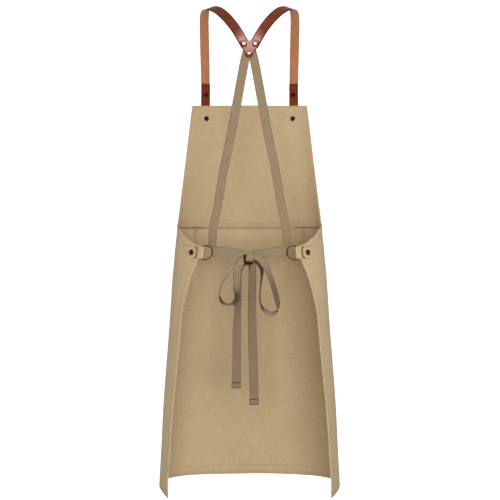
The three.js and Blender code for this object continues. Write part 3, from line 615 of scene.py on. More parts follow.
def new_piece(name, points, faces, uv, materials, slot, replaced, which=None, mirror=False):
    """An object from points in millimetres. Faces are an array of corners, with -1 for a corner left
    out; which gives each face's material; mirror turns the piece to the other side of the body."""
    points = np.array(points, dtype=float).reshape(-1, 3) * MM
    corners = [[int(c) for c in face if c >= 0] for face in np.asarray(faces)]
    if mirror:
        points[:, 0] *= -1
        corners = [face[::-1] for face in corners]
    mesh = bpy.data.meshes.new(name)
    mesh.from_pydata(points.tolist(), [], corners)
    loops = np.empty(len(mesh.loops), dtype=np.int32)
    mesh.loops.foreach_get("vertex_index", loops)
    layer = mesh.uv_layers.new(name="surface")
    layer.data.foreach_set("uv", (np.asarray(uv).reshape(-1, 2)[loops] * MM).ravel())
    for material in materials:
        mesh.materials.append(material)
    if which is not None:
        mesh.polygons.foreach_set("material_index", np.asarray(which, dtype=np.int32))
    mesh.shade_smooth()
    mesh.set_sharp_from_angle(angle=SHARP)
    mesh.update()
    piece = bpy.data.objects.new(name, mesh)
    bpy.context.scene.collection.objects.link(piece)
    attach(piece, "root")
    if replaced:
        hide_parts(*replaced)
    return piece


def new_pair(name, node, points, faces, uv, materials, slot, which=None):
    """A piece on the left and its mirror image on the right, in place of the nodes of both sides."""
    return [
        new_piece(f"{name}_{side}", points, faces, uv, materials, slot, [f"{node}_{side}"], which,
                  mirror=side == "right")
        for side in SIDES
    ]


def grid_quads(rows, columns, wrap=False):
    """Corners of the quads of a grid; with wrap the last column joins the first."""
    k = np.arange(rows * columns).reshape(rows, columns)
    if wrap:
        k = np.concatenate([k, k[:, :1]], axis=1)
    quads = np.stack([k[:-1, :-1], k[:-1, 1:], k[1:, 1:], k[1:, :-1]], axis=-1)
    return quads.reshape(-1, 4)


def tube_faces(rows, columns):
    """Faces of a grid whose last column joins the first, with a cap at each end."""
    quads = grid_quads(rows, columns, wrap=True)
    faces = np.full((len(quads) + 2, columns), -1)
    faces[:-2, :4] = quads
    faces[-2] = np.arange(columns)[::-1]
    faces[-1] = (rows - 1) * columns + np.arange(columns)
    return faces


def closed_sheet(face, back):
    """Closed sheet between an outer and an inner grid. Its rim is rounded: midway between the grids
    runs a third line, pushed out from the edge by a share of the thickness."""
    rows, columns = face.shape[:2]
    k = np.arange(rows * columns).reshape(rows, columns)
    rim = np.concatenate([k[0, :-1], k[:-1, -1], k[-1, :0:-1], k[:0:-1, 0]])
    inner = np.concatenate([k[1, :-1], k[:-1, -2], k[-2, :0:-1], k[:0:-1, 1]])
    f, b = face.reshape(-1, 3), back.reshape(-1, 3)
    away = unit(f[rim] - f[inner])
    thick = np.linalg.norm(f[rim] - b[rim], axis=1, keepdims=True)
    middle = (f[rim] + b[rim]) / 2 + RIM_ROUND * thick * away
    count = rows * columns
    quads = grid_quads(rows, columns)
    m = 2 * count + np.arange(len(rim))
    m_next, rim_next = np.roll(m, -1), np.roll(rim, -1)
    outer_side = np.stack([rim_next, rim, m, m_next], axis=-1)
    inner_side = np.stack([m_next, m, rim + count, rim_next + count], axis=-1)
    points = np.concatenate([f, b, middle])
    faces = np.concatenate([quads, quads[:, ::-1] + count, outer_side, inner_side])
    return points, faces, rim


def smooth_column(table, key, z):
    """Cubic through the rows of a table without overshoot: the slope at each row is the harmonic mean
    of the slopes beside it."""
    heights, values = table[:, 0], table[:, key]
    z = np.clip(z, heights[-1], heights[0])
    runs = np.diff(heights)
    slopes = np.diff(values) / runs
    product = slopes[:-1] * slopes[1:]
    total = np.where(product > 0, slopes[:-1] + slopes[1:], 1.0)
    between = np.where(product > 0, 2 * product / total, 0.0)
    tangents = np.concatenate([slopes[:1], between, slopes[-1:]])
    i = np.clip(np.searchsorted(-heights, -z, side="right") - 1, 0, len(runs) - 1)
    h = runs[i]
    t = (z - heights[i]) / h
    return (
        (2 * t**3 - 3 * t**2 + 1) * values[i]
        + (t**3 - 2 * t**2 + t) * h * tangents[i]
        + (3 * t**2 - 2 * t**3) * values[i + 1]
        + (t**3 - t**2) * h * tangents[i + 1]
    )


def smooth_step(x, low, high):
    """Zero below low, one above high, and 3t^2 - 2t^3 between them."""
    t = np.clip((x - low) / (high - low), 0, 1)
    return t * t * (3 - 2 * t)


def rounded(wave, power):
    """A sine or cosine raised to a power with its sign kept, as in a superellipse."""
    return np.sign(wave) * np.abs(wave) ** power


def body_table():
    """Level sections at even heights. Each is a superellipse quarter for the front and another for
    the back, measured off at even distances round the body from the front's middle."""
    z = TABLE_FOOT + TABLE_STEP * np.arange(TABLE_ROWS)
    columns = (smooth_column(SECTIONS, k, z)[:, None] for k in range(1, 7))
    wide, front_y, wide_y, back, square, back_square = columns
    t = np.linspace(0, np.pi / 2, 241)[None, :]
    power, back_power = 2 / square, 2 / back_square
    sine, cosine = np.sin(t), np.clip(np.cos(t), 0, 1)
    behind = wide_y - back * sine[:, 1:] ** back_power
    x = np.concatenate([wide * sine**power, wide * cosine[:, 1:] ** back_power], axis=1)
    y = np.concatenate([wide_y + (front_y - wide_y) * cosine**power, behind], axis=1)
    steps = np.hypot(np.diff(x), np.diff(y))
    along = np.concatenate([np.zeros((TABLE_ROWS, 1)), np.cumsum(steps, axis=1)], axis=1)
    at = np.arange(0, 520.0)
    xs = np.stack([np.interp(at, a, row) for a, row in zip(along, x)])
    ys = np.stack([np.interp(at, a, row) for a, row in zip(along, y)])
    return xs, ys, along[:, -1]


BODY_X, BODY_Y, BODY_ROUND = body_table()


def cloth(s, z):
    """Point of the cloth at a distance s round the body and a height z, read between table entries."""
    s, z = np.broadcast_arrays(np.asarray(s, float), np.asarray(z, float))
    row = np.clip((z - TABLE_FOOT) / TABLE_STEP, 0, TABLE_ROWS - 1.001)
    col = np.clip(np.abs(s), 0, BODY_X.shape[1] - 1.001)
    i, j = row.astype(int), col.astype(int)
    a, b = row - i, col - j

    def read(table):
        low = table[i, j] * (1 - b) + table[i, j + 1] * b
        high = table[i + 1, j] * (1 - b) + table[i + 1, j + 1] * b
        return low * (1 - a) + high * a

    return np.stack([np.sign(s) * read(BODY_X), read(BODY_Y), z], axis=-1)


def cloth_frame(s, z):
    """Unit vectors round the body, up the cloth and out of it."""
    d = 2.0
    around = unit(cloth(s + d, z) - cloth(s - d, z))
    lift = cloth(s, z + d) - cloth(s, z - d)
    out = unit(np.cross(lift, around))
    return around, np.cross(around, out), out


def off_cloth(s, z, distance):
    """Point at a distance off the cloth's outer face."""
    distance = np.asarray(distance, float)
    return cloth(s, z) + distance[..., None] * cloth_frame(s, z)[2]


def curve_through(points, t):
    """Centripetal Catmull-Rom curve at even shares of its rows, from 0 to 1: the knots are spaced by
    the square root of the distance between rows."""
    points = np.asarray(points, float)
    padded = np.concatenate([[2 * points[0] - points[1]], points, [2 * points[-1] - points[-2]]])
    x = np.clip(t, 0, 1) * (len(points) - 1)
    i = np.minimum(x.astype(int), len(points) - 2)
    w = (x - i)[:, None]
    p0, p1, p2, p3 = (padded[i + k] for k in range(4))

    def gap(a, b):
        return np.sqrt(np.linalg.norm(a - b, axis=1, keepdims=True))

    d1 = gap(p1, p2)
    d1 = np.where(d1 < 1e-4, 1.0, d1)
    d0, d2 = gap(p0, p1), gap(p2, p3)
    d0 = np.where(d0 < 1e-4, d1, d0)
    d2 = np.where(d2 < 1e-4, d1, d2)
    t1 = ((p1 - p0) / d0 - (p2 - p0) / (d0 + d1) + (p2 - p1) / d1) * d1
    t2 = ((p2 - p1) / d1 - (p3 - p1) / (d1 + d2) + (p3 - p2) / d2) * d1
    return p1 + t1 * w + (-3 * p1 + 3 * p2 - 2 * t1 - t2) * w**2 + (2 * p1 - 2 * p2 + t1 + t2) * w**3


def tangents_of(points):
    """Unit directions along a line of points."""
    return unit(np.gradient(points, axis=0))


def lengths_along(points):
    """Distance of each point along its line."""
    steps = np.linalg.norm(np.diff(points, axis=0), axis=1)
    return np.concatenate([[0.0], np.cumsum(steps)])


def read_along(at, here, *columns):
    """Columns of vectors, given at distances along a line, read at other distances."""
    return [np.stack([np.interp(here, at, v[:, k]) for k in range(3)], axis=-1) for v in columns]


class Band:
    """A flat band: points of its middle, normals, directions across it and widths, row by row."""

    def __init__(self, points, normals, across, width):
        self.points, self.normals, self.across = points, normals, across
        self.width = np.broadcast_to(np.asarray(width, float), (len(points),)).copy()

    def along(self):
        return lengths_along(self.points)

    def part(self, rows):
        return Band(self.points[rows], self.normals[rows], self.across[rows], self.width[rows])

    def join(self, other):
        pairs = [(self.points, other.points), (self.normals, other.normals), (self.across, other.across)]
        return Band(*(np.concatenate(pair) for pair in pairs), np.concatenate([self.width, other.width]))

    def place(self, along, aside, height):
        """Points and normals at distances along the band, aside from its middle and above it."""
        p, n, a = read_along(self.along(), along, self.points, self.normals, self.across)
        n = unit(n)
        return p + aside * unit(a) + height * n, n


def facing_band(rows, width, steps):
    """Band along the curve through rows whose face looks along the rows' normals."""
    t = np.linspace(0, 1, steps + 1)
    points = curve_through(rows[:, :3], t)
    tangents = tangents_of(points)
    normals = curve_through(rows[:, 3:6], t)
    normals = unit(normals - np.sum(normals * tangents, axis=1, keepdims=True) * tangents)
    return Band(points, normals, np.cross(tangents, normals), width)


def turning_band(rows, steps):
    """Band along the curve through rows, whose width is turned out of the plane that faces back."""
    t = np.linspace(0, 1, steps + 1)
    points = curve_through(rows[:, :3], t)
    forms = curve_through(rows[:, [3, 4, 4]], t)
    tangents = tangents_of(points)
    turn = np.radians(forms[:, 0])
    level = unit(np.stack([-tangents[:, 2], 0 * turn, tangents[:, 0]], axis=-1))
    across = level * np.cos(turn)[:, None]
    across[:, 1] -= np.sin(turn)
    across = unit(across - np.sum(across * tangents, axis=1, keepdims=True) * tangents)
    return Band(points, np.cross(across, tangents), across, forms[:, 1])


def body_band(path, mid_height, width):
    """Band that follows the left side of the body. Its path is drawn level, by the distance round the
    body and the distance off the cloth, and it is flat across its width."""
    path = np.asarray(path, float)
    way = unit(np.gradient(path, axis=0))
    z = mid_height(path[:, 0])
    around, up, out = cloth_frame(-path[:, 0], z)
    points = off_cloth(-path[:, 0], z, path[:, 1])
    normals = unit(way[:, 1:2] * around + way[:, 0:1] * out)
    return Band(points, normals, up, width)


def band_mesh(band, thickness, pleat=0.0):
    """Cross-section carried along a band: points, faces, UV and whether a face is on the back. Where
    the band is narrower than its full width, it is pleated by a cosine across it."""
    rows = len(band.points)
    aside = band.width[:, None] * BAND_ACROSS[None, :]
    gathered = 1 - band.width / band.width.max()
    pleats = pleat * gathered[:, None] * np.cos(4 * np.pi * BAND_ACROSS)[None, :]
    lift = thickness * BAND_RISE[None, :] + pleats
    grid = band.points[:, None] + aside[..., None] * band.across[:, None]
    grid = grid + lift[..., None] * band.normals[:, None]
    along = np.broadcast_to(band.along()[:, None], aside.shape)
    full = band.width.max() * np.broadcast_to(BAND_ACROSS[None, :], aside.shape)
    under = np.concatenate([np.tile(BAND_RISE < 0, rows - 1), [False, False]])
    return grid.reshape(-1, 3), tube_faces(rows, BAND_COUNT), np.stack([full, along], axis=-1), under


# Cloth pieces


def ripple(s, z):
    """Soft waves of the hanging skirt, as a distance off the cloth: two slow sines round the body that
    grow from nothing at the waist to the hem, and fade out towards the wings. Below the facing a bell
    curve makes one upright fold on each side."""
    grow = smooth_step(-z, *RIPPLE_GROWS) * (1 - 0.8 * smooth_step(np.abs(s), *RIPPLE_FADES))
    waves = grow * (RIPPLE_SLOW * np.sin(s / 41 + 0.6) + RIPPLE_QUICK * np.sin(s / 23 + z / 190))
    starts, ends = FOLD_FADE
    upright = smooth_step(-z, FOLD_TOP, FOLD_TOP + starts)
    upright = upright * (1 - smooth_step(-z, FOLD_FOOT - ends, FOLD_FOOT))
    return waves + FOLD_DEPTH * upright * np.exp(-(((np.abs(s) - FOLD_AT) / FOLD_WIDTH) ** 2))


def panel_half(z):
    """Half width of the flat cut at a height."""
    return smooth_column(CUT, 1, z)


def facing_half(z):
    """Half width of the facing, laid flat, at a height."""
    return np.minimum(FACING_HALF, panel_half(z) - FACING_INSET)


def side_droop(z):
    """How far below its middle a row of the cloth ends, at the top of the bib and at the foot."""
    top = BIB_DROOP * smooth_step(z, BIB_DROOP_FOOT, BIB_TOP)
    return top + HEM_DROOP * (1 - smooth_step(z, HEM_FOOT, HEM_DROOP_TOP))


def panel_grid():
    """Distances round the body and heights of the panel's grid. Columns share out the flat part, and
    more follow across the step of the hem and the hem itself."""
    z = PANEL_ROWS[:, None]
    half = panel_half(z)
    slope = (panel_half(z + 1) - panel_half(z - 1)) / 2
    inner = half - np.minimum(HEM_RUN_MOST, HEM * np.hypot(1, slope))
    flat = inner - HEM_STEP
    side = np.concatenate([
        flat * np.linspace(0, 1, 84)[None, :],
        flat + (inner - flat) * np.array([[0.5, 1.0]]),
        inner + (half - inner) * np.array([[0.1, 0.5, 0.9, 1.0]]),
    ], axis=1)
    s = np.concatenate([side[:, ::-1], -side[:, 1:]], axis=1)
    height = z - side_droop(z) * (s / half) ** 2
    beside = smooth_step(np.abs(s), flat, inner)
    ends = np.maximum(
        smooth_step(-z, -(HEM_FOOT + FOOT_HEM + HEM_STEP), -(HEM_FOOT + FOOT_HEM)),
        smooth_step(z, BIB_TOP - HEM - HEM_STEP, BIB_TOP - HEM),
    )
    return s, height, np.maximum(beside, ends)


def make_panel(canvas):
    """Bib, skirt and wings as one closed sheet that is thicker in its hem by the folded cloth."""
    s, z, hem = panel_grid()
    wave = ripple(s, z)
    puff = HEM_PUFF * hem * np.sin(z / 2.9 + s / 2.7)
    face = off_cloth(s, z, wave + puff)
    back = off_cloth(s, z, wave - CLOTH - HEM_FOLD * hem + puff)
    points, faces, rim = closed_sheet(face, back)
    uv = np.stack([s, z], axis=-1).reshape(-1, 2)
    uv = np.concatenate([uv, uv, uv[rim]])
    return new_piece("apron_cloth", points, faces, uv, [canvas], "canvas", ["apron_panel"])


def facing_wave(aside):
    """How far the facing's foot stands off the bib, as a share: it rises, and falls away to the edge."""
    eased = 1 - WAVE_EASED * smooth_step(aside, *WAVE_EASES)
    return smooth_step(aside, *WAVE_RISES) * eased * (1 - smooth_step(aside, *WAVE_FALLS))


def make_facing(canvas, painted_shadow_edging, shaded):
    """Second layer inside the bib, whose lower edge waves off it a little on each side. Along that edge a
    narrow strip of the grid is painted shadow in thread colours, darker where the edge stands off."""
    z = FACING_ROWS[:, None]
    share = np.linspace(1, -1, 101)[None, :]
    half = facing_half(z) + FACING_INSET / 2
    low = smooth_step(FACING_FOOT + FACING_LIFT_HEIGHT - z, 0, FACING_LIFT_HEIGHT)
    high = smooth_step(z, BIB_DROOP_FOOT, BIB_TOP)
    height = z - (BIB_DROOP * high + FACING_DROOP * low) * share**2
    aside = np.abs(share)
    lift = FACING_LIFT * low * facing_wave(aside)
    gap = FACING_GAP - 0.6 * smooth_step(aside, 0.9, 1)
    s = half * share
    depth = -CLOTH - HEM_FOLD - gap - lift
    face = off_cloth(s, height, depth)
    back = off_cloth(s, height, depth - CLOTH)
    points, faces, rim = closed_sheet(face, back)
    uv = np.stack([s + 900, height], axis=-1).reshape(-1, 2)
    uv = np.concatenate([uv, uv, uv[rim]])
    edge = np.zeros(len(faces), int)
    columns = share.size - 1
    # Painted shadow along the foot: the lowest row of quads takes the edge thread colour, and the darker
    # shaded one where the foot stands off
    painted_foot_strip = np.where(facing_wave(aside[0, 1:]) > WAVE_SHADED, 2, 1)
    count = columns * (len(z) - 1)
    for start in (0, count, 2 * count, 2 * count + len(rim)):
        edge[start: start + columns] = painted_foot_strip
    return new_piece("facing_cloth", points, faces, uv, [canvas, painted_shadow_edging, shaded], "canvas", ["bib_facing"],
                     which=edge)


# Leather, webbing and metal


def bib_place(z, distance):
    """Places beside the bib where the left strap lies: points, and the strap's directions there."""
    s = np.linspace(0, FACING_HALF, 4001)
    at = s[np.searchsorted(cloth(s, STRAP_FOLD)[:, 0], STRAP_X)]
    around, up, out = cloth_frame(-at, STRAP_FOLD)
    rise = (np.asarray(z, float) - STRAP_FOLD) / up[2]
    points = cloth(-at, STRAP_FOLD) + rise[..., None] * up + np.asarray(distance, float)[..., None] * out
    return points, around, up, out


def cross_place(x, y, distance):
    """Points in the leaning plane of the cross, at a distance outwards from it; and its outward way."""
    x, y, distance = np.broadcast_arrays(*(np.asarray(v, float) for v in (x, y, distance)))
    sine, cosine = np.sin(CROSS_LEAN), np.cos(CROSS_LEAN)
    turned = np.stack([x, y * cosine - distance * sine, y * sine + distance * cosine], axis=-1)
    return turned + CROSS_CENTRE, np.array([0.0, -sine, cosine])


def cross_rows(pairs, distance):
    """Rows of a curve's table at places in the plane of the cross."""
    x, y = np.array(pairs).T
    points, out = cross_place(x, y, distance)
    return np.concatenate([points, np.broadcast_to(out, points.shape)], axis=1)


def strap_band():
    """The left strap: its end folded up beside the bib, over the shoulder, and down to the cross."""
    fold = (STRAP_OUTER - STRAP_INNER) / 2
    turn = np.pi * (1 - np.linspace(0, 1, 11))
    rise = np.linspace(STRAP_END, STRAP_FOLD + fold, 16)[:-1]
    bend_z = STRAP_FOLD + fold * (1 - np.sin(turn))
    outer_z = np.linspace(STRAP_FOLD + fold, STRAP_STRAIGHT_TOP, 14)[1:-1]
    z = np.concatenate([rise, bend_z, outer_z])
    bend_off = STRAP_INNER + fold * (1 + np.cos(turn))
    off = np.concatenate([0 * rise + STRAP_INNER, bend_off, 0 * outer_z + STRAP_OUTER])
    turns = np.concatenate([0 * rise + np.pi, turn, 0 * outer_z])
    points, around, up, out = bib_place(z, off)
    normals = np.cos(turns)[:, None] * out - np.sin(turns)[:, None] * up
    folded = Band(points, normals, np.broadcast_to(-around, points.shape), STRAP_WIDTH)
    start, _, _, out = bib_place([STRAP_STRAIGHT_TOP, STRAP_LIFT_OFF], [STRAP_OUTER] * 2)
    start = np.concatenate([start, np.broadcast_to(out, start.shape)], axis=1)
    end = cross_rows(STRAP_CROSS, 0.0)
    return folded.join(facing_band(np.concatenate([start, SHOULDER, end]), STRAP_WIDTH, 150))


def make_straps(smooth, flesh):
    """Both leather straps: smooth side out, flesh side in, trimmed where they meet."""
    points, faces, uv, under = band_mesh(strap_band(), LEATHER)
    points[:, 0] = np.minimum(points[:, 0], -GAP / 2)
    return new_pair("leather_strap", "strap", points, faces, uv, [smooth, flesh], "strap_leather", under)


def bezier(start, control, end, steps):
    """Quadratic curve from start to end, without its last point."""
    t = np.linspace(0, 1, steps, endpoint=False)[:, None]
    start, control, end = (np.array(p, float) for p in (start, control, end))
    return (1 - t) ** 2 * start + 2 * t * (1 - t) * control + t**2 * end


def make_patch(smooth):
    """Leather shield over the strap ends: rings that shrink from its outline to its middle, domed by
    the square of the ring and rounded at the edge."""
    starts = [PATCH_TOP] + [end for _, end, _ in PATCH_OUTLINE]
    outline = np.concatenate([bezier(start, *curve) for start, curve in zip(starts, PATCH_OUTLINE)])
    rings, lift = PATCH_RINGS.T
    flat = PATCH_MIDDLE + rings[:, None, None] * (outline - PATCH_MIDDLE)[None]
    height = PATCH_INNER + np.broadcast_to(lift[:, None], flat.shape[:2])
    points, _ = cross_place(flat[..., 0], flat[..., 1], height)
    faces = tube_faces(*flat.shape[:2])[:, ::-1]
    narrowed = flat * [0.4, 1.0]
    new_piece("leather_patch", points, faces, narrowed, [smooth], "strap_leather", ["cross_patch"])


def web_band(layer):
    """A strip of back webbing, on the left, from under the patch to behind the ring."""
    top = cross_rows(WEB_CROSS, layer)
    z = np.array([TAB_HEIGHT + 15, WEB_FOOT])
    foot = np.concatenate([off_cloth(-WEB_AT, z, np.full(2, WEB_DEPTH)), cloth_frame(-WEB_AT, z)[2]], axis=1)
    return facing_band(np.concatenate([top, BACK_WEB, foot]), WEB_WIDTH, 160)


def bow_share(share):
    """Height of the ring's bow by its reach, both as shares, or its reach by its height."""
    return np.clip(1 - np.abs(share) ** RING_SQUARENESS, 0, 1) ** (1 / RING_SQUARENESS)


def make_webs(webbing):
    """Both strips of back webbing, the right one a layer deeper under the patch. Each ends behind the
    bow of its ring: near the ring the strip is shortened so that its foot follows the bow."""
    foot = WEB_FOOT - TAB_HEIGHT
    origin, reach, up, _ = ring_frame()
    for side, layer in (("left", UPPER_WEB), ("right", LOWER_WEB)):
        points, faces, uv, _ = band_mesh(web_band(layer), WEB)
        along, rise = (points - origin) @ reach, (points - origin) @ up
        share = np.clip((along - RING_CORNER) / (RING_REACH - RING_CORNER), 0, 1)
        end = np.maximum(foot, RING_HALF_HEIGHT * bow_share(share))
        shorter = (WEB_TRIM_TOP - end) / (WEB_TRIM_TOP - foot)
        moved = np.where(rise < WEB_TRIM_TOP, WEB_TRIM_TOP - (WEB_TRIM_TOP - rise) * shorter, rise)
        points = points + (moved - rise)[:, None] * up
        new_piece(f"back_webbing_{side}", points, faces, uv, [webbing], "webbing", [f"web_{side}"],
                  mirror=side == "right")


def arc(at, off, radius, start, stop, steps):
    """Points of an arc in the plane of a level path, at angles in degrees."""
    t = np.radians(np.linspace(start, stop, steps + 1))
    return np.stack([at + radius * np.cos(t), off + radius * np.sin(t)], axis=-1)


def run(start, stop, off, steps):
    """Even points of a level path at one distance off the cloth."""
    at = np.linspace(start, stop, steps + 1)
    return np.stack([at, 0 * at + off], axis=-1)


def tab_band():
    """The tab: from inside the wing round the ring's bar, back outside, and its tip folded over, with
    the end of the tip curling up by the square of the distance."""
    bend = RING_WIRE + GAP + CLOTH / 2
    fold = (CLOTH + GAP) / 2
    top = TAB_OUTSIDE + 2 * fold
    tip = np.linspace(TAB_CURL_AT + 1, TAB_RETURN, 7)
    curl = TAB_TIP_LIFT * ((tip - TAB_CURL_AT) / (TAB_RETURN - TAB_CURL_AT)) ** 2
    path = np.concatenate([
        run(TAB_INNER_END, WING_END - 4, TAB_INSIDE, 12),
        [[WING_END - 1, TAB_INSIDE + 0.25]],
        arc(RING_BAR_AT, RING_DEPTH, bend, -90, 90, 12),
        [[WING_END - 2, TAB_OUTSIDE + 0.15]],
        run(WING_END - 5, TAB_TIP + fold + 2, TAB_OUTSIDE, 12),
        arc(TAB_TIP + fold, TAB_OUTSIDE + fold, fold, 270, 90, 8),
        run(TAB_TIP + fold + 2, TAB_CURL_AT, top, 8),
        np.stack([tip, top + curl], axis=-1),
    ])
    return body_band(path, lambda at: np.full(at.shape, TAB_HEIGHT), TAB_WIDTH)


def make_tabs(canvas):
    """Both canvas tabs."""
    points, faces, uv, _ = band_mesh(tab_band(), CLOTH)
    uv = uv + np.array([400.0, 0.0])
    new_pair("canvas_tab", "tab", points, faces, uv, [canvas], "canvas")


def ring_frame():
    """Origin of the left ring at its bar, and its directions: reach, up and out."""
    around, up, out = cloth_frame(np.array(-RING_BAR_AT), np.array(TAB_HEIGHT))
    origin = off_cloth(np.array(-RING_BAR_AT), np.array(TAB_HEIGHT), np.array(RING_DEPTH))
    return origin, -around, up, out


def make_rings(brass):
    """Both D-rings: a circle carried along a bar, two rounded corners and half a superellipse."""
    half, corner = RING_HALF_HEIGHT, RING_CORNER
    split = 0.4
    low = np.stack([np.zeros(14), np.linspace(-split, corner - half, 14)], axis=-1)
    turn = np.linspace(-np.pi / 2, np.pi / 2, 61)[1:-1]
    power = 2 / RING_SQUARENESS
    bow_reach = corner + (RING_REACH - corner) * np.cos(turn) ** power
    bow = np.stack([bow_reach, half * rounded(np.sin(turn), power)], axis=-1)
    first = bezier((0, corner - half), (0, -half), (corner, -half), 10)[1:]
    foot = np.concatenate([low, first, [[corner, -half]]])
    line = np.concatenate([foot, bow, foot[::-1] * [1, -1]])
    way = unit(np.gradient(line, axis=0))
    side = np.stack([way[:, 1], -way[:, 0]], axis=-1)
    t = np.linspace(0, 2 * np.pi, 14, endpoint=False)
    origin, reach, up, out = ring_frame()
    flat = line[:, None, :] + RING_WIRE * np.cos(t)[None, :, None] * side[:, None, :]
    depth = RING_WIRE * np.sin(t)[None, :, None] * out
    points = origin + flat[..., :1] * reach + flat[..., 1:] * up + depth
    faces = tube_faces(*points.shape[:2])
    uv = np.zeros((points.size // 3, 2))
    new_pair("brass_ring", "d_ring", points, faces, uv, [brass], "ring_brass")


def tie_band():
    """The left waist tie: from behind the ring's bow along the back to the knot."""
    behind = RING_WIRE + GAP + WEB / 2
    origin, reach, _, _ = ring_frame()
    lengths = RING_REACH + np.linspace(-TIE_UNDER_RING, TIE_PAST_RING, TIE_END_ROWS)
    at = RING_BAR_AT + lengths
    out = cloth_frame(-at, np.full(at.shape, TAB_HEIGHT))[2]
    gap = origin + lengths[:, None] * reach - cloth(-at, TAB_HEIGHT)
    row = int((KNOT_Z - TABLE_FOOT) / TABLE_STEP)
    knot_at = BODY_ROUND[row] - KNOT_HALF_WIDTH - GAP
    path = np.concatenate([
        np.stack([at, np.sum(gap * out, axis=1) - behind], axis=-1),
        run(at[-1] + 8, knot_at, TIE_OUTSIDE, 30),
    ])

    def mid_height(place):
        share = smooth_step(place, at[-1], knot_at + 40)
        return TAB_HEIGHT + TIE_RISE + (KNOT_Z - TAB_HEIGHT - TIE_RISE) * share

    return body_band(path, mid_height, TIE_WIDTH)


def make_ties(webbing):
    """Both waist ties. The first rows of each are shared out between the bow, which the tie's
    end follows, and the last of them."""
    points, faces, uv, _ = band_mesh(tie_band(), WEB)
    origin, reach, up, _ = ring_frame()
    count = TIE_END_ROWS * BAND_COUNT
    along, rise = (points[:count] - origin) @ reach, (points[:count] - origin) @ up
    bow = RING_CORNER + (RING_REACH - RING_CORNER) * bow_share(rise / RING_HALF_HEIGHT)
    share = np.repeat(np.linspace(0, 1, TIE_END_ROWS), BAND_COUNT)
    moved = bow * (1 - share) + (RING_REACH + TIE_PAST_RING) * share
    points[:count] += (moved - along)[:, None] * reach
    new_pair("waist_tie", "tie", points, faces, uv, [webbing], "webbing")


def make_knot(webbing, deep):
    """The knot: the crossing, an oval block far back whose dark colour is painted shadow, and one turn of
    webbing slanting down across it. Round the block runs a superellipse, and across it the block swells in
    the middle."""
    around = np.linspace(0, 2 * np.pi, 48, endpoint=False)[None, :]
    across = np.linspace(-1, 1, 25)[:, None]
    swell = 0.75 + 0.25 * np.clip(1 - np.abs(across) ** 4, 0.0, 1) ** 0.5
    wide, deep_in, high = CROSSING_HALF
    x = wide * across + 0 * around
    y = -rounded(np.cos(around), CROSSING_POWER) * deep_in * swell
    z = rounded(np.sin(around), CROSSING_POWER) * high * swell
    block = np.stack([x, y, z], axis=-1) + CROSSING_CENTRE
    uv = np.stack([x, wide * around + 0 * across], axis=-1)
    # The block's finish is painted shadow
    new_piece("bow_crossing", block, tube_faces(*x.shape), uv, [deep], "webbing", ["bow_knot"])
    band = facing_band(KNOT_TURN, KNOT_TURN_WIDTH, 60)
    points, faces, uv, _ = band_mesh(band, WEB)
    new_piece("bow_turn", points, faces, uv, [webbing], "webbing", ["bow_knot"])


def make_bow_band(name, rows, steps, finishes, node):
    """A loop or free end of the bow, pleated where it goes into the knot. The first finish is for the
    side that its normals look out of, and the second for the other side."""
    band = turning_band(rows, steps)
    points, faces, uv, under = band_mesh(band, WEB, BOW_PLEAT)
    return new_piece(name, points, faces, uv, finishes, "webbing", [node], which=under), band


def make_knot_shadow_strip(webbing):
    """A thin strip of painted shadow below the knot, along the left edge of the right free end."""
    points, faces, uv, _ = band_mesh(turning_band(KNOT_SHADOW_STRIP, 30), KNOT_SHADOW_THICKNESS)
    new_piece("knot_painted_shadow_strip", points, faces, uv, [webbing], "webbing", [])


# Stitching


def even_line(points, normals, pitch):
    """Places at an even pitch along a line of points: their points, directions along it and normals."""
    at = lengths_along(points)
    here = np.arange(pitch / 2, at[-1], pitch)
    return read_along(at, here, points, tangents_of(points), normals)


def make_stitches(name, lines, thread, slot, thickness=STITCH_RADIUS):
    """Stitches along lines of points and normals. Each is a spindle half sunk into the cloth: a hexagon
    carried along the stitch, whose radius is the fourth root of one less the fourth power of the place."""
    places = [even_line(points, normals, STITCH_PITCH) for points, normals in lines]
    centre, way, out = (np.concatenate([place[k] for place in places])[:, None, None] for k in range(3))
    way = unit(way)
    aside = unit(np.cross(way, out))
    out = np.cross(aside, way)
    t = STITCH_PLACES[None, :, None, None]
    turn = (np.arange(STITCH_SIDES) * 2 * np.pi / STITCH_SIDES)[None, None, :, None]
    radius = thickness * (1.02 - t**4) ** 0.25
    points = centre + 0.5 * STITCH_LENGTH * t * way + radius * (np.cos(turn) * aside + np.sin(turn) * out)
    count = len(centre)
    one = tube_faces(STITCH_PLACES.size, STITCH_SIDES)[None]
    shift = STITCH_PLACES.size * STITCH_SIDES * np.arange(count)[:, None, None]
    faces = np.where(one < 0, -1, one + shift).reshape(-1, STITCH_SIDES)
    along = STITCH_PITCH * np.arange(count)[:, None, None, None] + 0.5 * STITCH_LENGTH * t
    uv = np.concatenate(np.broadcast_arrays(STITCH_RADIUS * turn, along), axis=-1)
    return new_piece(name, points, faces, uv, [thread], slot, [])


def cloth_line(s, z, depth, side):
    """Line of points and normals over the cloth, on its outer side (1) or its inner side (-1)."""
    out = cloth_frame(s, z)[2]
    return off_cloth(s, z, ripple(s, z) + depth), side * out


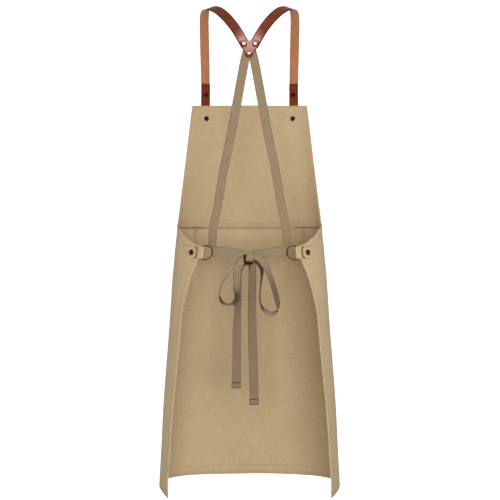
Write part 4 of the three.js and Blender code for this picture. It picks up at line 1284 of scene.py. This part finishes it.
def hem_lines():
    """Stitch lines of the panel's hem, inside and out: along the foot, the top and both sides."""
    inset = HEM - STITCH_INSET
    inside = -CLOTH - HEM_FOLD
    lines = []
    for z, droop in ((HEM_FOOT + FOOT_HEM - STITCH_INSET, HEM_DROOP), (BIB_TOP - inset, BIB_DROOP)):
        half = panel_half(np.array(z))
        s = np.linspace(inset - half, half - inset, 400)
        lines += [(s, z - droop * (s / half) ** 2)]
    z = np.linspace(HEM_FOOT + inset, BIB_TOP - inset, 700)
    slope = (panel_half(z + 1) - panel_half(z - 1)) / 2
    s = panel_half(z) - np.minimum(HEM_RUN_MOST - 6, inset * np.hypot(1, slope))
    z = z - side_droop(z)
    lines += [(s, z), (-s, z)]
    return [cloth_line(s, z, depth, side) for s, z in lines for depth, side in ((0.0, 1), (inside, -1))]


def facing_lines():
    """Two stitch lines above the foot of the facing, on its inner side."""
    share = np.linspace(-0.97, 0.97, 400)
    aside = np.abs(share)
    lines = []
    for rise in FACING_STITCHES:
        z = FACING_FOOT + rise
        low = smooth_step(np.array(FACING_LIFT_HEIGHT - rise), 0, FACING_LIFT_HEIGHT)
        half = facing_half(np.array(z)) + FACING_INSET / 2
        depth = -2 * CLOTH - HEM_FOLD - FACING_GAP - FACING_LIFT * low * facing_wave(aside)
        lines.append(cloth_line(half * share, z - FACING_DROOP * low * share**2, depth, -1))
    return lines


def band_line(band, along, aside, height):
    """Line of points and normals at distances along a band, aside from its middle and above it."""
    along, aside = np.broadcast_arrays(np.asarray(along, float), np.asarray(aside, float))
    points, normals = band.place(along, aside[:, None], height)
    return points, normals * np.sign(height)


def mirrored_lines(lines):
    """The lines and their mirror images on the other side of the body."""
    flip = np.array([-1.0, 1.0, 1.0])
    return lines + [(points * flip, normals * flip) for points, normals in lines]


def tab_lines():
    """Tacks of the left tab, whose dark thread paints the shadow under the tip's raised end: across the end
    of its tip, and a short bar along each of its corners.
    """
    band = tab_band()
    end = band.along()[-1]
    half = TAB_WIDTH / 2 - 1.2
    across = np.linspace(-half, half, 30)
    bar = np.linspace(end - 8, end - 0.6, 20)
    height = CLOTH / 2
    return [
        band_line(band, end - 0.6, across, height),
        band_line(band, bar, half, height),
        band_line(band, bar, -half, height),
    ]


def web_lines(layer):
    """Three stitch lines across the left back webbing above the ring."""
    band = web_band(layer)
    end = band.along()[-1]
    across = np.linspace(-WEB_WIDTH / 2 + 1, WEB_WIDTH / 2 - 1, 20)
    return [band_line(band, end - back, across, WEB / 2) for back in WEB_STITCHES]


def make_tail_hem(side, band, webbing, thread):
    """The folded end of a free end of the bow: the last stretch of the band again, one layer nearer the
    eye and a little wider, with a line of thick dark stitches along both of its edges whose colour paints
    the shadow of the fold."""
    at = band.along()
    last = band.part(at > at[-1] - TAIL_HEM)
    toward = -np.sign(last.normals[:, 1:2])
    middle = last.points + TAIL_HEM_LIFT * toward * last.normals
    lifted = Band(middle, last.normals, last.across, last.width + TAIL_HEM_WIDER)
    points, faces, uv, _ = band_mesh(lifted, WEB)
    hem = new_piece(f"bow_end_hem_{side}", points, faces, uv, [webbing], "webbing", [])
    half = (WEB_WIDTH - TAIL_HEM_WIDER) / 2
    across = np.linspace(-half, half, 20)
    height = float(toward[-1, 0]) * (WEB / 2 + TAIL_HEM_LIFT)
    edges = (TAIL_STITCH_INSET, TAIL_HEM - TAIL_STITCH_INSET)
    lines = [band_line(band, at[-1] - back, across, height) for back in edges]
    # Dark stitches that paint the shadow of the fold
    return [hem, make_stitches(f"bow_end_painted_shadow_stitching_{side}", lines, thread, "webbing", TAIL_STITCH_RADIUS)]


def revolve(profile, point, normal):
    """Surface of revolution: a profile of radius and height turned about a place's normal, as its points,
    faces and UV."""
    profile = np.array(profile, float)
    t = np.linspace(0, 2 * np.pi, 28, endpoint=False)
    side = unit(np.cross(normal, [0.3, 0.2, 0.93]))
    other = np.cross(normal, side)
    ring = np.cos(t)[:, None] * side + np.sin(t)[:, None] * other
    points = point + profile[:, :1, None] * ring[None] + profile[:, 1:, None] * normal
    return points, tube_faces(len(profile), len(t)), np.zeros((points.size // 3, 2))


def stud_profile(cap, rise, post, washer, deep, depth, flat):
    """Radius and height down a stud: inner washer with a rolled rim and a dimple, post, and outer cap
    with a rounded rim; flat is the share of the cap's radius that stays flat."""
    foot = -depth - deep
    t = np.linspace(0, np.pi / 2, 8)
    dome = [(cap * (flat + (1 - flat) * np.cos(a)), 0.5 + (rise - 0.5) * np.sin(a)) for a in t]
    return [
        (0.05, foot + 0.55), (0.9, foot + 0.5), (1.5, foot + 0.05), (2.4, foot - 0.1), (3.2, foot + 0.1),
        (3.6, foot + 0.25), (washer - 0.9, foot), (washer - 0.3, foot + 0.05), (washer, foot + 0.45),
        (washer - 0.1, -depth), (post, -depth), (post, 0.0), (cap - 0.3, 0.0), (cap, 0.25),
        *dome, (0.05, rise),
    ]


def make_fasteners(bronze, russet, copper):
    """Studs of the straps, bib and tabs, and rivets of the cross."""
    strap_depth = STRAP_OUTER - STRAP_INNER + LEATHER + 2 * SEAT
    bib_depth = STRAP_FACE + 2 * CLOTH + HEM_FOLD + FACING_GAP + CLOTH_SEAT
    tab_depth = TAB_FACE - TAB_INSIDE + CLOTH / 2 + CLOTH_SEAT
    side_depth = PATCH_FACE + LEATHER / 2 + SEAT
    bottom_depth = PATCH_FACE - LOWER_WEB + WEB / 2 + SEAT
    strap_at, _, _, out = bib_place(np.array(STRAP_STUD_HEIGHT), np.array(STRAP_FACE))
    bib_at = bib_place(np.array(BIB_STUD_HEIGHT), np.array(STRAP_FACE))[0]
    tab_s, tab_z = np.array(-TAB_STUD_AT), np.array(TAB_HEIGHT)
    tab_at = off_cloth(tab_s, tab_z, np.array(TAB_FACE))
    tab_out = cloth_frame(tab_s, tab_z)[2]
    side_at, cross_out = cross_place(-CROSS_RIVET[0], CROSS_RIVET[1], PATCH_FACE)
    bottom_at = cross_place(*BOTTOM_RIVET, PATCH_FACE)[0]
    # Name, size, depth, place, normal, finish, slot, flat share of the cap
    pairs = [
        ("strap_stud", STUD, strap_depth, strap_at, out, bronze, "stud_bronze", 0.3),
        ("bib_stud", STUD, bib_depth, bib_at, out, bronze, "stud_bronze", 0.3),
        ("tab_stud", TAB_STUD, tab_depth, tab_at, tab_out, russet, "stud_bronze", 0.25),
        ("cross_rivet", RIVET, side_depth, side_at, cross_out, copper, "rivet_copper", RIVET_FLAT),
    ]
    for name, size, depth, point, normal, material, slot, flat in pairs:
        surface = revolve(stud_profile(*size, depth, flat), point, normal)
        new_pair(f"{name}_cap", name, *surface, [material], slot)
    surface = revolve(stud_profile(*RIVET, bottom_depth, RIVET_FLAT), bottom_at, cross_out)
    new_piece("cross_rivet_cap_bottom", *surface, [copper], "rivet_copper", ["cross_rivet_bottom"])


# Floor


def make_floor():
    """A pale floor that sweeps up into a wall a long way behind, as a paper roll does in a studio."""
    across = np.linspace(-FLOOR_HALF, FLOOR_HALF, 3)
    t = np.linspace(0, np.pi / 2, 24)
    y = np.concatenate([[-FLOOR_HALF], WALL_AT - WALL_BEND * (1 - np.sin(t)), [WALL_AT]])
    z = FLOOR_HEIGHT + np.concatenate([[0.0], WALL_BEND * (1 - np.cos(t)), [FLOOR_HALF]])
    grid = np.stack(np.broadcast_arrays(across[None, :], y[:, None], z[:, None]), axis=-1)
    mesh = bpy.data.meshes.new("floor")
    mesh.from_pydata(grid.reshape(-1, 3).tolist(), [], grid_quads(*grid.shape[:2]).tolist())
    mesh.shade_smooth()
    f = Finish("paper", roughness=0.95, specular_ior_level=0.1)
    cloud = f.noise(f.solid(), 1.2, 2.0)
    f.shader.inputs["Emission Color"].default_value = (1, 1, 1, 1)
    f.shader.inputs["Emission Strength"].default_value = FLOOR_GLOW
    mesh.materials.append(f.finish(f.mix(cloud, (0.93, 0.93, 0.93, 1), (0.96, 0.96, 0.96, 1))))
    floor = bpy.data.objects.new("floor", mesh)
    bpy.context.scene.collection.objects.link(floor)
    floor.visible_diffuse = False


place_camera()
light_studio()
make_floor()

canvas = canvas_finish()
web_pale, web_deep = tint(157, 137, 107), tint(139, 120, 93)
webbing = webbing_finish("webbing", web_pale, web_deep)
# Painted shade: a darker copy of the webbing for the free ends of the bow and their hems
painted_shade_bow_webbing = webbing_finish("painted_shade_bow_webbing", tint(141, 121, 96), tint(122, 103, 80))
# Painted shade on the inside of the left loop, with a span of painted light near its foot
painted_shade_inner_webbing = webbing_finish("painted_shade_inner_webbing", tint(98, 82, 61), tint(80, 66, 48),
                               painted_span=(0.098, 0.106, 0.119, 0.128, tint(136, 116, 88)))
# Painted shade along the lower part of the right loop's outer leg
shaded_webbing = webbing_finish("shaded_webbing", web_pale, web_deep,
                                painted_span=(0.034, 0.088, 0.124, 0.132, tint(104, 89, 64)))
# Painted light on the outer leg of the left loop
painted_light_webbing = webbing_finish("painted_light_webbing", web_pale, web_deep,
                               painted_span=(0.140, 0.152, 0.205, 0.226, tint(182, 157, 122)))
# Painted shade on the inside of the right loop, with a span of painted light along its foot
painted_shade_turned_webbing = webbing_finish("painted_shade_turned_webbing", tint(96, 79, 58), tint(78, 63, 46),
                                painted_span=(0.130, 0.135, 0.156, 0.170, tint(152, 130, 103)))
# Painted shadow: near-black webbing for the knot's block and the strip below it
painted_shadow_webbing = webbing_finish("painted_shadow_webbing", tint(38, 26, 10), tint(26, 17, 6), gap=tint(20, 13, 5))
# Thread colours. dark, tail, edge and shaded are painted shadow: dark for the tab tacks under the tips, tail
# for the free ends' hem folds, edge and shaded for the strip along the facing's foot, shaded being darker
threads = {
    name: thread_finish(f"{name}_thread", tint(*pale), tint(*deep))
    for name, pale, deep in (
        ("canvas", (172, 148, 112), (146, 121, 88)),
        ("dark", (48, 29, 11), (32, 19, 7)),
        ("tail", (46, 33, 17), (33, 23, 12)),
        ("edge", (148, 123, 88), (128, 104, 73)),
        ("shaded", (84, 64, 36), (66, 49, 27)),
        ("facing", (158, 132, 96), (126, 100, 70)),
        ("web", (118, 98, 72), (90, 73, 52)),
    )
}
smooth = smooth_leather_finish()
flesh = flesh_leather_finish()
bronze = metal_finish("bronze", tint(66, 50, 37), tint(30, 22, 17), 0.28, 0.5)
russet = metal_finish("russet", tint(98, 68, 49), tint(50, 33, 22), 0.28, 0.5)
copper = metal_finish("copper", tint(122, 66, 52), tint(74, 38, 30), 0.14, 0.28, lacquer=1.0)
brass = metal_finish("brass", tint(124, 101, 61), tint(60, 46, 25), 0.25, 0.48)

# Free ends of the bow come first
for side, rows in (("left", TAIL_LEFT), ("right", TAIL_RIGHT)):
    tail, band = make_bow_band(f"bow_end_{side}", rows, 90, [painted_shade_bow_webbing] * 2, f"bow_tail_{side}")
    hem = make_tail_hem(side, band, painted_shade_bow_webbing, threads["tail"])
    length = float(band.along()[-1]) * MM

panel = make_panel(canvas)
facing = make_facing(canvas, threads["edge"], threads["shaded"])
panel_stitches = make_stitches("panel_stitching", hem_lines(), threads["canvas"], "canvas")
facing_stitches = make_stitches("facing_stitching", facing_lines(), threads["facing"], "canvas")
straps = make_straps(smooth, flesh)

make_patch(smooth)
make_webs(webbing)
make_tabs(canvas)
# Tacks in dark thread that paint the shadow under the raised ends of the tabs' tips
make_stitches("tab_tacks_painted_shadow", mirrored_lines(tab_lines()), threads["dark"], "canvas", TACK_RADIUS)
right_lines = mirrored_lines(web_lines(LOWER_WEB))[3:]
make_stitches("web_stitching", web_lines(UPPER_WEB) + right_lines, threads["web"], "webbing")
make_rings(brass)
make_ties(webbing)
make_knot(webbing, painted_shadow_webbing)
make_knot_shadow_strip(painted_shadow_webbing)
# Loops: the inside of each takes painted shade with painted light near its foot; the left loop's outside
# takes painted light, the right loop's painted shade
make_bow_band("bow_ear_left", LOOP_LEFT, 180, [painted_shade_inner_webbing, painted_light_webbing], "bow_loop_left")
make_bow_band("bow_ear_right", LOOP_RIGHT, 190, [painted_shade_turned_webbing, shaded_webbing], "bow_loop_right")
make_fasteners(bronze, russet, copper)
